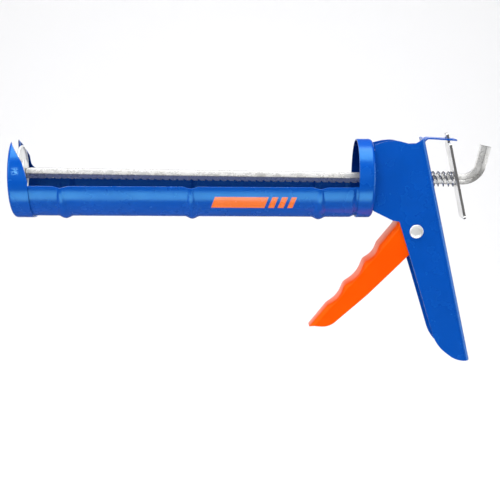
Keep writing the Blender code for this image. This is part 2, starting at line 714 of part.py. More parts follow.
def coil(centre, mean, start, end, turns, first_angle, steps=10):
    """Points on a coil about a line along Y."""
    points = []
    count = round(turns * steps)
    for step in range(count + 1):
        angle = first_angle + 2 * math.pi * turns * step / count
        y = start + (end - start) * step / count
        points.append((centre[0] + mean * math.cos(angle), y, centre[1] + mean * math.sin(angle)))
    return points


def make_torsion_springs():
    """The trigger's return spring on its bush, and the pawl's spring on its pin."""
    turns = coil(PIVOT, 5.1, -9.0, -2.2, 4.5, math.radians(140))
    legs_in = [(18.5, -9.0, -53.0), (26.0, -9.0, -44.0)]
    legs_out = [(52.0, -2.2, -45.0), (60.8, -2.2, -53.0)]
    piece("trigger_spring", wire(legs_in + turns + legs_out, 1.3), "frame", "spring_steel")
    x, z = PAWL_PIVOT
    turns = coil(PAWL_PIVOT, 3.0, -9.6, -5.0, 4.25, math.radians(-90))
    legs_in = [(x - 4.0, -9.6, z - 15.5), (x - 1.5, -9.6, z - 6.0)]
    legs_out = [(x - 3.4, -4.9, z - 5.8), (x - 7.6, -3.4, z - 4.6), (x - 10.0, -2.2, z - 2.9)]
    piece("pawl_spring", wire(legs_in + turns[:-1] + legs_out, 0.8), "trigger", "spring_steel")


def hex_bar():
    """The rod's bar, swept along its straight run and up round its hook."""
    hexagon = bpy.data.curves.new("hexagon", "CURVE")
    hexagon.dimensions = "2D"
    ring = hexagon.splines.new("POLY")
    ring.points.add(5)
    for index, point in enumerate(ring.points):
        angle = math.radians(60 * index)
        point.co = (ROD_CORNER * math.cos(angle) * MM, ROD_CORNER * math.sin(angle) * MM, 0, 1)
    ring.use_cyclic_u = True
    section = bpy.data.objects.new("hexagon", hexagon)
    path = [(ROD_FRONT, 0), (HOOK_START, 0)]
    degrees = math.degrees(HOOK_ANGLE)
    path += arc((HOOK_START, HOOK_RADIUS), HOOK_RADIUS, -90, degrees - 90, 12)[1:]
    rise = HOOK_TIP_HEIGHT - path[-1][1]
    path.append((path[-1][0] + rise / math.tan(HOOK_ANGLE), HOOK_TIP_HEIGHT))
    line = bpy.data.curves.new("rod", "CURVE")
    line.dimensions = "3D"
    line.bevel_mode = "OBJECT"
    line.bevel_object = section
    line.use_fill_caps = True
    spline = line.splines.new("POLY")
    spline.points.add(len(path) - 1)
    for point, (x, z) in zip(spline.points, path):
        point.co = (x * MM, 0, z * MM, 1)
    bar = mesh_of(bpy.data.objects.new("rod", line))
    bpy.data.objects.remove(section, do_unlink=True)
    return bar


def tooth_comb():
    """The notches cut across the rod's underside."""
    flat = -ROD_FLATS / 2
    notches = bmesh.new()
    for number in range(TOOTH_COUNT):
        x = TOOTH_FIRST + TOOTH_PITCH * number
        notch = [(x, flat - 1), (x + TOOTH_WIDTH * 1.6, flat - 1), (x + TOOTH_WIDTH, flat),
                 (x + TOOTH_WIDTH * 0.2, flat + TOOTH_DEPTH), (x, flat + TOOTH_DEPTH)]
        notches.from_mesh(prism(notch, "Y", -6, 6))
    comb = bpy.data.meshes.new("teeth")
    notches.to_mesh(comb)
    notches.free()
    return comb


def tilted(mesh):
    """Raises a mesh built on the barrel axis to the rod's own axis."""
    mesh.transform(RAISED)
    return mesh


def make_rod():
    """A hex bar with teeth along its underside, a hook at the back and a peened stub in front."""
    rod = piece("rod", tilted(hex_bar()), "rod", "rod_steel")
    cut(rod, "rod_teeth", tilted(tooth_comb()), "rod")
    back = DISC_FRONT + DISC_RECESS - GAP
    stub = [(ROD_FRONT + 3, 0), (ROD_FRONT + 3, STUB_RADIUS), (back, STUB_RADIUS)]
    stub += [(back, STUB_RADIUS + 1.6), (back - 0.9, STUB_RADIUS + 1.3), (back - 1.5, STUB_RADIUS)]
    stub += [(back - 1.6, 0)]
    boolean(rod, tool("rod_stub", tilted(turned(stub, steps=24)), "rod"), "UNION")


def make_plunger():
    """The disc that pushes the cartridge's piston, dished and flanged backward, and its washer."""
    bore = STUB_RADIUS + GAP
    rear = DISC_FRONT + DISC_SHEET
    lip = DISC_FRONT + DISC_DEPTH
    dish = DISC_FRONT + DISC_RECESS
    profile = [(lip, DISC_RADIUS)]
    profile += arc((DISC_FRONT + 1.4, DISC_RADIUS - 1.4), 1.4, 90, 180, 4)
    profile += [(DISC_FRONT, DISC_RECESS_RADIUS), (dish, DISC_RECESS_RADIUS - 1.2), (dish, bore)]
    profile += [(dish + DISC_SHEET, bore), (dish + DISC_SHEET, DISC_RECESS_RADIUS - 0.7)]
    profile += [(rear, DISC_RECESS_RADIUS + 0.5), (rear, DISC_RADIUS - 1.8)]
    profile += [(rear + 0.4, DISC_RADIUS - DISC_SHEET), (lip, DISC_RADIUS - DISC_SHEET)]
    piece("plunger_disc", tilted(turned(profile, closed=True)), "plunger", "zinc")
    near = dish + DISC_SHEET + GAP
    far = ROD_FRONT - GAP
    washer = [(far, WASHER_RADIUS - 0.4), (far - 0.4, WASHER_RADIUS), (near, WASHER_RADIUS)]
    washer += [(near, bore), (far, bore)]
    piece("plunger_washer", tilted(turned(washer, steps=32, closed=True)), "plunger", "zinc")


def make_catch_plate():
    """A steel strip that leans like the handle's back; its neck sits in the tab's slot."""
    half, neck = PLATE_HALF, PLATE_NECK_HALF
    bottom = PLATE_TOP - PLATE_LENGTH
    strip = rounded([
        (neck, PLATE_TOP, 1.2), (neck, PLATE_NECK_FROM, 0.8), (half, PLATE_NECK_FROM, 1.2),
        (half, bottom, 3), (-half, bottom, 3), (-half, PLATE_NECK_FROM, 1.2),
        (-neck, PLATE_NECK_FROM, 0.8), (-neck, PLATE_TOP, 1.2),
    ])
    mesh = prism(strip, "X", -PLATE_SHEET / 2, PLATE_SHEET / 2)
    leaning = Matrix.Translation((PLATE_AXIS_X * MM, 0, 0)) @ Matrix.Rotation(-LEAN, 4, "Y")
    mesh.transform(leaning)
    plate = piece("catch_plate", mesh, "catch_plate", "zinc")
    oval = arc((0, -0.9), 4.6, 180, 360, 10) + arc((0, 0.5), 4.6, 0, 180, 10)
    hole = prism(oval, "X", -10, 10)
    hole.transform(leaning)
    cut(plate, "plate_rod_hole", hole, "catch_plate")


def make_catch_spring():
    """A coil round the rod between the handle's back and the catch plate, leaning as they do."""
    start = spine_x(0) + SPRING_WIRE / 2 + 0.35
    end = PLATE_AXIS_X - PLATE_SHEET / 2 / math.cos(LEAN) - SPRING_WIRE / 2 - 0.35
    turns = 5.25
    count = round(turns * SPRING_TURN_POINTS)
    closed_pitch = SPRING_WIRE + 0.15
    open_pitch = (end - start - 1.75 * closed_pitch) / (turns - 1.75)
    points = []
    x = start
    for step in range(count + 1):
        turn = turns * step / count
        angle = 2 * math.pi * turn + math.pi / 2
        y, z = SPRING_MEAN * math.cos(angle), SPRING_MEAN * math.sin(angle)
        points.append((x - z * math.tan(LEAN), y, z))
        pitch = closed_pitch if turn < 0.75 or turn >= turns - 1 else open_pitch
        x += pitch * turns / count
    piece("catch_spring", tilted(wire(points, SPRING_WIRE)), "frame", "spring_steel")


empty_scene()
parts = new_collection("caulking_gun")
cutters = new_collection("cutters")
bodies = make_bodies()
make_trough()
make_cap()
make_collar()
make_bracket()
make_handle()
make_pivot()
make_trigger()
make_pawl()
make_torsion_springs()
make_rod()
make_plunger()
make_catch_plate()
make_catch_spring()
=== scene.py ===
"""The looks of the half-barrel caulking gun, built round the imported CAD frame.

Lengths are in millimetres, measured from the point where the barrel's axis meets the collar's mouth,
with +X towards the rod's hook; BARREL places that point in the frame. The floor and the lights are in
metres.
"""
import math

import bmesh
import bpy
from mathutils import Matrix, Vector


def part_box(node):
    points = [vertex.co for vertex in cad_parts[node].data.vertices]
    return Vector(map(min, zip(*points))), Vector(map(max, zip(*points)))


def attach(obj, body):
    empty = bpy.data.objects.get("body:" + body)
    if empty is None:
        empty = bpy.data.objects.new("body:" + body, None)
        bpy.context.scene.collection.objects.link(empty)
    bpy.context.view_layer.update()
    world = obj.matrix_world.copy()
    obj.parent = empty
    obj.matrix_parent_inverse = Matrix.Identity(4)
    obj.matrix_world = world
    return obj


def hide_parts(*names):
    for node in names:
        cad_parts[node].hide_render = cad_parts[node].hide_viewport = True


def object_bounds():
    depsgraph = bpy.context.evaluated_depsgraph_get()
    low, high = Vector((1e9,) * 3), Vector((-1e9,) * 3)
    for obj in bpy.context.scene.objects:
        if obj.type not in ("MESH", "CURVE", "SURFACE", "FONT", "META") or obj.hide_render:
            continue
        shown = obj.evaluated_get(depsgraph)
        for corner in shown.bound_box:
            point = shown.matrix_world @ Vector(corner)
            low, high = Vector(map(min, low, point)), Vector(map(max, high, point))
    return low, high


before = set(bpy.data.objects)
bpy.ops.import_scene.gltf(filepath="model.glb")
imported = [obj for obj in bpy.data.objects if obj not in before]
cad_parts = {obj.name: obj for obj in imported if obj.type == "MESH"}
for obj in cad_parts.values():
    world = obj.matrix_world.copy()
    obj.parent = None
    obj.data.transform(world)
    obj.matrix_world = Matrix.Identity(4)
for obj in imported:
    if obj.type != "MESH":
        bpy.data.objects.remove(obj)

cad_low, cad_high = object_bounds()

MM = 0.001
collar_low, collar_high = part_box("rear_collar")
BARREL = Vector((collar_low[0], 0, (collar_low[2] + collar_high[2]) / 2))


def from_barrel(point):
    """A point of the frame, in millimetres from the barrel's own zero."""
    return (Vector(point) - BARREL) / MM


# Barrel
RIM_SHEET = 0.95
COLLAR_RADIUS = (collar_high[2] - collar_low[2]) / 2 / MM
COLLAR_DEPTH = from_barrel(collar_high).x
COLLAR_CORNER = 2.6
CAP_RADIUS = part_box("front_cap")[1][1] / MM
CAP_FACE = from_barrel(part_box("front_cap")[0]).x  # the raised pad's face
PAD_RISE = 1.5
PAD_RADIUS = 17.4
PAD_SHOULDER = ((1.5, 0.8), (1.3, 0.3), (0.3, -0.7), (0.08, -1.1), (0.0, -1.6))  # each back and out
PAD_HOLLOW = 1.9  # how far inside the pad's radius the hollow behind it ends
PAD_HOLLOW_CORNER = 0.4
CAP_FRONT = CAP_FACE + PAD_RISE
CAP_DEPTH = from_barrel(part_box("front_cap")[1]).x - CAP_FRONT
CAP_CORNER = 2.2
NOZZLE_SLOT_HALF = 12.6
CAP_FOOT_CORNER = 4
# Each ear's rear edge: how far behind the cap's front, height and corner radius; then its foot's height
LEFT_EAR, LEFT_EAR_FOOT = ((0.9, 40, 0), (0.9, 24.2, 0), (9.7, 12.4, 3), (12.4, 5, 6)), -1.5
RIGHT_EAR, RIGHT_EAR_FOOT = ((0.6, 40, 0), (0.6, 23.4, 0), (5.1, 12, 3), (5.7, 5.5, 4)), -2.5
TROUGH_INNER = 26.1
TROUGH_SHEET = 0.9
TROUGH_EDGE_DROP = 3.4  # how far the trough's edges are below the barrel's axis
TROUGH_NECK = 1.2
TROUGH_NECK_FROM, TROUGH_NECK_TO = -4.8, -1.2
TROUGH_ENDS = [from_barrel(corner).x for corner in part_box("cradle")]
RIB_PLACES = (-200.0, -112.8, -25.6)
RIB_DEPTH = 1.75
RIB_HALF_WIDTH = 5.2
RIB_EDGE_DEPTH_SHARE = 0.15  # what is left of a rib's depth at the trough's edges
RIB_EDGE_WIDTH_SHARE = 0.25
EDGE_DIP = 1.2
EDGE_DIP_HALF_WIDTH = 6.0
RIB_STEPS, TROUGH_STEPS, NECK_STEPS, TROUGH_STEPS_AROUND = 20, 48, 12, 96

# Rod and plunger; the rod rests with its front end raised
ROD_RISE = math.radians(0.54)
ROD_LEVEL_X = 35.0
ROD_FLATS = 7.0
ROD_CORNER = ROD_FLATS / math.sqrt(3)
ROD_CORNER_ROUND = 0.55
ROD_HOLE = ROD_CORNER + 0.36
ROD_FRONT = -227.2
HOOK_START = 74.1
HOOK_RADIUS = 12.5
HOOK_ANGLE = math.radians(78)
HOOK_TIP_HEIGHT = 23.3
TOOTH_PITCH = 5.0
TOOTH_WIDTH = 2.2
TOOTH_DEPTH = 1.0
TOOTH_FIRST = -214.0
TOOTH_COUNT = 52
TOOTH_CUT_HALF = 6
STUB_RADIUS = 2.8
STUB_ROOT = 3  # how far the stub starts inside the rod
STUB_HEAD = ((0.0, 1.6), (0.9, 1.3), (1.5, 0.0))  # the peened head: each forward and out
STUB_HEAD_DEPTH = 1.6
DISC_FRONT = -231.3
DISC_RADIUS = (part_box("plunger_disc")[1][1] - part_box("plunger_disc")[0][1]) / 2 / MM
DISC_DEPTH = 1.9
DISC_SHEET = 1.0
DISC_CORNER = 1.4
DISC_RECESS_RADIUS = 7.5
DISC_RECESS = 0.9
WASHER_RADIUS = 9.0
WASHER_CORNER = 0.4

# Handle
LEAN = math.radians(13.44)
SPINE_TOP = (46.2, 24.9)
SPINE_BEND = 4.5
SPINE_SKIM = 0.02  # how far the bar that shapes the back stands inside the side outline
SPINE_REACH = 120
SPINE_HOLE_ENDS = (42, 62)
HANDLE_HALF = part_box("handle")[1][1] / MM
HANDLE_SHEET = 1.2
HANDLE_FRONT = from_barrel(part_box("handle")[0]).x
HANDLE_BOTTOM = from_barrel(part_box("handle")[0]).z
HANDLE_TOP = 28.4
HANDLE_BROW = [(19.0, 26.5, 14), (26.0, 27.2, 16), (37.6, 24.2, 7)]  # its wavy top, as rounded corners
RIGHT_SIDE_DROP = 1.2
RIGHT_SIDE_FRONT = 21.9
RIGHT_SIDE_END = (50.0, 23.6)
TAB_END = (68.2, 26.5)
TAB_FOLD = 8.0  # from the tab's root up to where it folds back
TAB_ROOT_Z = 20.0
TAB_OVERLAP = 3  # how far the tab reaches down past its root, inside the back
TAB_HALF = 6.2
TAB_SHEET = 1.0
TAB_SLOT_HALF = 1.9
TAB_SLOT_ENDS = (20, 34)

# Trigger
PIVOT = (41.4, -35.1)
PIVOT_SHANK = 2.4
RIVET_HEAD = 4.8
RIVET_DOME = 1.6
RIVET_LIP = ((0.18, 0.0), (0.02, -0.12))  # the head's rim: each up from its seat and out
TRIGGER_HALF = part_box("trigger")[1][1] / MM
TRIGGER_SHEET = 1.2
TRIGGER_TIP_HALF = 6.8
TRIGGER_TAPER_END = 75.0
TRIGGER_BEND = 3.2
# The fold between finger face and sides: inset from the side, in bends, and the share of the way down
FOLD = (
    (1.1, 0.0), (0.95, 0.05), (0.8, 0.13), (0.6, 0.28), (0.4, 0.47), (0.22, 0.64), (0.13, 0.73),
    (0.07, 0.81), (0.03, 0.88), (0.008, 0.95), (0.0, 1.0),
)
TRIGGER_TIP_STEP = 3.9
TRIGGER_TIP = (-30.6, -104.9)
TRIGGER_HEAD = (27.7, -32.2)
TRIGGER_BROW = (31.5, -24.0)
TRIGGER_LOBE = 5.2
TRIGGER_HEEL = 7.5
TRIGGER_BELLY = ((38.8, -50.0, 0), (9.5, -80.6, 120), (-16.8, -104.8, 13), (-26.2, -104.2, 0))
TRIGGER_ROOM = [(30, 20), (90, 20), (90, -140), (-20, -140)]  # the hollow, behind the finger face
TRIGGER_ROOM_OVERRUN = 12
GROOVES = ((19.0, 38.7, 1.9), (38.7, 60.3, 2.2), (60.3, 76.1, 1.7))  # each from, to and depth
GROOVE_EASE = 0.25
GROOVE_STEPS, TIP_STEPS = 28, 6
PAWL_ARM = 22.0
PAWL_ANGLE = math.radians(15)
PAWL_PIVOT = (
    PIVOT[0] + PAWL_ARM * math.sin(PAWL_ANGLE),
    PIVOT[1] + PAWL_ARM * math.cos(PAWL_ANGLE),
)
PAWL_PIN = 2.0

# Catch plate and its spring
PLATE_SHEET = 1.8
PLATE_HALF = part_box("catch_plate")[1][1] / MM
PLATE_AXIS_X = 69.3
PLATE_TOP = 32.3
PLATE_LENGTH = 60.7
PLATE_NECK_HALF = 3.6
PLATE_NECK_FROM = 25.2
PLATE_NECK_PLAY = 0.5
PLATE_HINGE_HEIGHT = 27.4
PLATE_HINGE_X = PLATE_AXIS_X - PLATE_HINGE_HEIGHT * math.tan(LEAN)
PLATE_HOLE = 4.6
PLATE_HOLE_ENDS = (-0.9, 0.5)  # the heights of its two half rounds
SPRING_MEAN = 4.85
SPRING_WIRE = 1.0
SPRING_PLAY = 0.35
SPRING_TURNS = 5.25
SPRING_CLOSED_FRONT, SPRING_CLOSED_REAR = 0.75, 1
SPRING_CLOSED_GAP = 0.15
SPRING_STEPS = 40

GAP = 0.3
CLEAR = 40  # a cutter's reach: past every piece that it cuts
ROUND_STEPS = 192
EDGE = 0.22  # how far a pressed sheet's cut edges are rounded over
WELD = 1e-6  # metres

ROD_LEVEL = Matrix.Translation((ROD_LEVEL_X * MM, 0, 0))
RAISED = ROD_LEVEL @ Matrix.Rotation(ROD_RISE, 4, "Y") @ ROD_LEVEL.inverted()
AXES = {
    "X": Matrix(((0, 0, 1, 0), (1, 0, 0, 0), (0, 1, 0, 0), (0, 0, 0, 1))),
    "Y": Matrix(((1, 0, 0, 0), (0, 0, -1, 0), (0, 1, 0, 0), (0, 0, 0, 1))),
}

# Camera, light and floor
CAMERA_LENS = 73.5
CAMERA_PLACE = (-79.5, -703.6, 81.6)
CAMERA_PAN, CAMERA_DIP, CAMERA_ROLL = (math.radians(angle) for angle in (-0.556, 10.678, 0.367))
FLOOR_DEPTH = 0.45
FLOOR_FRONT, FLOOR_BACK = -1.3, 1.6
FLOOR_HALF = 4.0
SWEEP_RADIUS = 1.2
BACKDROP_TOP = 5.0
WORLD_STRENGTH = 0.12
# Each light: name, place and aim from the gun's middle, size, watts and whether it shows in reflections
LIGHTS = (
    ("overhead", (0.0, -0.12, 1.0), (0, 0, 0), (1.4, 0.85), 15, True),
    ("low_card", (-0.05, -0.68, -0.75), (0, 0, 0), (1.7, 0.5), 12, True),
    ("left_card", (-1.15, -0.5, 0.5), (0, 0, 0), (0.7, 0.9), 5, True),
    ("right_card", (1.3385, 0.05, 0.087), (0.1385, 0, -0.013), (0.9, 0.9), 5, True),
    ("back_card", (0.0, 1.4, -0.05), (0, 0, 0), (2.8, 0.9), 8, True),
    ("front", (-0.3, -1.5, 0.5), (0, 0, 0), (1.4, 0.9), 14, False),
    ("wash", (0.0, 1.9, 2.1), (0, 2.3, -0.5), (4.5, 2.4), 86, False),
)


# ---------------------------------------------------------------- camera, light and floor

def make_camera():
    """A short telephoto from the gun's left, a little above it and forward of its middle."""
    data = bpy.data.cameras.new("camera")
    data.lens = CAMERA_LENS
    data.clip_end = 20
    camera = bpy.data.objects.new("camera", data)
    turn = (
        Matrix.Rotation(CAMERA_PAN, 4, "Z")
        @ Matrix.Rotation(math.pi / 2 - CAMERA_DIP, 4, "X")
        @ Matrix.Rotation(CAMERA_ROLL, 4, "Z")
    )
    camera.matrix_world = Matrix.Translation(BARREL + Vector(CAMERA_PLACE) * MM) @ turn
    bpy.context.scene.collection.objects.link(camera)
    bpy.context.scene.camera = camera


def area_light(name, place, target, size, power, mirrored):
    """A rectangular softbox that the camera doesn't see."""
    data = bpy.data.lights.new(name, "AREA")
    data.shape = "RECTANGLE"
    data.size, data.size_y = size
    data.energy = power
    light = bpy.data.objects.new(name, data)
    light.location = place
    light.rotation_euler = (target - place).to_track_quat("-Z", "Y").to_euler()
    light.visible_camera = False
    light.visible_glossy = mirrored
    bpy.context.scene.collection.objects.link(light)


def make_lights():
    """A dim white world, and softboxes above, below, beside, behind and in front of the gun."""
    world = bpy.data.worlds.new("studio")
    bpy.context.scene.world = world
    world.use_nodes = True
    background = world.node_tree.nodes["Background"]
    background.inputs["Color"].default_value = (1, 1, 1, 1)
    background.inputs["Strength"].default_value = WORLD_STRENGTH
    middle = (cad_low + cad_high) / 2
    for name, place, aim, size, power, mirrored in LIGHTS:
        area_light(name, middle + Vector(place), middle + Vector(aim), size, power, mirrored)
    bpy.context.scene.view_settings.view_transform = "Standard"


def make_floor():
    """A pale floor that sweeps up into a backdrop; polished pieces don't mirror it."""
    line = [(FLOOR_FRONT, 0.0), (FLOOR_BACK, 0.0)]
    line += arc((FLOOR_BACK, SWEEP_RADIUS), SWEEP_RADIUS, -90, 0, 24)[1:]
    line.append((FLOOR_BACK + SWEEP_RADIUS, BACKDROP_TOP))
    middle_x = (cad_low[0] + cad_high[0]) / 2
    floor_z = cad_low[2] - FLOOR_DEPTH
    points = [(x, y, floor_z + z) for y, z in line for x in (middle_x - FLOOR_HALF, middle_x + FLOOR_HALF)]
    faces = [(first, first + 1, first + 3, first + 2) for first in range(0, len(points) - 2, 2)]
    mesh = bpy.data.meshes.new("floor")
    mesh.from_pydata(points, [], faces)
    mesh.shade_smooth()
    material = bpy.data.materials.new("pale_floor")
    material.use_nodes = True
    shader = material.node_tree.nodes["Principled BSDF"]
    shader.inputs["Base Color"].default_value = (0.86, 0.86, 0.87, 1)
    shader.inputs["Roughness"].default_value = 0.9
    mesh.materials.append(material)
    floor = bpy.data.objects.new("floor", mesh)
    bpy.context.scene.collection.objects.link(floor)
    floor.visible_glossy = False


# ---------------------------------------------------------------- shaping

def evaluated_mesh(obj):
    """The mesh of a scratch object, its modifiers done; the object goes."""
    bpy.context.scene.collection.objects.link(obj)
    bpy.context.view_layer.update()
    graph = bpy.context.evaluated_depsgraph_get()
    mesh = bpy.data.meshes.new_from_object(obj.evaluated_get(graph))
    mesh.transform(obj.matrix_world)
    bpy.data.objects.remove(obj, do_unlink=True)
    return mesh


def welded_mesh(obj):
    """The evaluated mesh of a scratch object, its points welded and its flat faces whole."""
    mesh = evaluated_mesh(obj)
    shape = bmesh.new()
    shape.from_mesh(mesh)
    bmesh.ops.remove_doubles(shape, verts=shape.verts, dist=WELD)
    bmesh.ops.dissolve_limit(
        shape, angle_limit=math.radians(0.05), verts=shape.verts, edges=shape.edges
    )
    bmesh.ops.recalc_face_normals(shape, faces=shape.faces)
    shape.to_mesh(mesh)
    shape.free()
    return mesh


def mesh_from(shape, name):
    """A new mesh from a bmesh, which goes."""
    mesh = bpy.data.meshes.new(name)
    shape.to_mesh(mesh)
    shape.free()
    return mesh


def line_through(points, name, flat=False):
    """A curve object of straight lines through the points; a flat one is closed and lies in X and Y."""
    curve = bpy.data.curves.new(name, "CURVE")
    curve.dimensions = "2D" if flat else "3D"
    spline = curve.splines.new("POLY")
    spline.points.add(len(points) - 1)
    for point, place in zip(spline.points, points):
        point.co = (*(length * MM for length in place), 1)
    spline.use_cyclic_u = flat
    return bpy.data.objects.new(name, curve)


def prism(outline, axis, start, end):
    """A flat outline thickened along an axis: (x, z) points along Y, (y, z) points along X."""
    obj = line_through([(across, up, 0) for across, up in outline], "outline", flat=True)
    obj.data.fill_mode = "BOTH"
    obj.data.extrude = abs(end - start) / 2 * MM
    middle = (start + end) / 2 * MM
    shift = Vector((middle, 0, 0)) if axis == "X" else Vector((0, middle, 0))
    obj.matrix_world = Matrix.Translation(shift) @ AXES[axis]
    return welded_mesh(obj)


def cylinder(axis, centre, radius, start, end, steps=64):
    """A round bar along X or Y; centre is its (y, z) or (x, z)."""
    middle = (start + end) / 2
    place = (middle, *centre) if axis == "X" else (centre[0], middle, centre[1])
    shape = bmesh.new()
    bmesh.ops.create_cone(
        shape, cap_ends=True, segments=steps, radius1=radius * MM, radius2=radius * MM,
        depth=abs(end - start) * MM, matrix=Matrix.Translation(Vector(place) * MM) @ AXES[axis],
    )
    return mesh_from(shape, "cylinder")


def turned(profile, axis="X", centre=(0, 0), steps=ROUND_STEPS, closed=False):
    """A profile of (place along the axis, radius) turned about it, its outer side from +axis to -axis."""
    lines = bpy.data.meshes.new("profile")
    points = [(radius * MM, 0, along * MM) for along, radius in profile]
    edges = [(index, index + 1) for index in range(len(points) - 1)]
    if closed:
        edges.append((len(points) - 1, 0))
    lines.from_pydata(points, edges, [])
    obj = bpy.data.objects.new("profile", lines)
    screw = obj.modifiers.new("turn", "SCREW")
    screw.axis = "Z"
    screw.steps = screw.render_steps = steps
    screw.use_merge_vertices = True
    screw.merge_threshold = WELD
    place = (0, *centre) if axis == "X" else (centre[0], 0, centre[1])
    obj.matrix_world = Matrix.Translation(Vector(place) * MM) @ AXES[axis]
    return welded_mesh(obj)


def arc(centre, radius, start, end, steps=8):
    """Points on an arc, from one angle to another, in degrees."""
    points = []
    for step in range(steps + 1):
        angle = math.radians(start + (end - start) * step / steps)
        points.append((centre[0] + radius * math.cos(angle), centre[1] + radius * math.sin(angle)))
    return points


def rounded(corners):
    """An outline of (across, up, corner radius) corners, with each corner an arc."""
    outline = []
    count = len(corners)
    for index, (across, up, radius) in enumerate(corners):
        if radius <= 0:
            outline.append((across, up))
            continue
        here = Vector((across, up))
        back = (Vector(corners[index - 1][:2]) - here).normalized()
        ahead = (Vector(corners[(index + 1) % count][:2]) - here).normalized()
        half = back.angle(ahead) / 2
        centre = here + (back + ahead).normalized() * (radius / math.sin(half))
        first = here + back * (radius / math.tan(half)) - centre
        sweep = math.copysign(math.pi - 2 * half, back.y * ahead.x - back.x * ahead.y)
        steps = max(3, math.ceil(abs(sweep) / math.radians(6)))
        for step in range(steps + 1):
            spoke = first.copy()
            spoke.rotate(Matrix.Rotation(sweep * step / steps, 2))
            outline.append(tuple(centre + spoke))
    return outline


def carve(mesh, *operands):
    """The mesh with each (operation, other mesh) done to it, in order."""
    target = bpy.data.objects.new("carved", mesh)
    tools = []
    for operation, other in operands:
        obj = bpy.data.objects.new("tool", other)
        bpy.context.scene.collection.objects.link(obj)
        tools.append(obj)
        modifier = target.modifiers.new("step", "BOOLEAN")
        modifier.object = obj
        modifier.operation = operation
        modifier.solver = "EXACT"
    result = welded_mesh(target)
    for obj in tools:
        bpy.data.objects.remove(obj, do_unlink=True)
    return result


def wire(points, thickness, sides=4):
    """A round wire through the points, with closed ends."""
    obj = line_through(points, "wire")
    obj.data.bevel_depth = thickness / 2 * MM
    obj.data.bevel_resolution = sides
    obj.data.use_fill_caps = True
    return welded_mesh(obj)


def piece(name, mesh, body, node, material, edge=EDGE, sharp=35):
    """A shown piece in a CAD node's place, its sharp edges rounded over, riding on a body."""
    mesh.name = name
    mesh.transform(Matrix.Translation(BARREL))
    mesh.shade_smooth()
    obj = bpy.data.objects.new(name, mesh)
    bpy.context.scene.collection.objects.link(obj)
    if edge:
        bevel = obj.modifiers.new("rounded_edges", "BEVEL")
        bevel.width = edge * MM
        bevel.segments = 3
        bevel.limit_method = "ANGLE"
        bevel.angle_limit = math.radians(sharp)
        bevel.harden_normals = True
        bevel.use_clamp_overlap = True
    mesh.materials.clear()
    mesh.materials.append(material)
    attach(obj, body)
    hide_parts(node)


# ---------------------------------------------------------------- materials

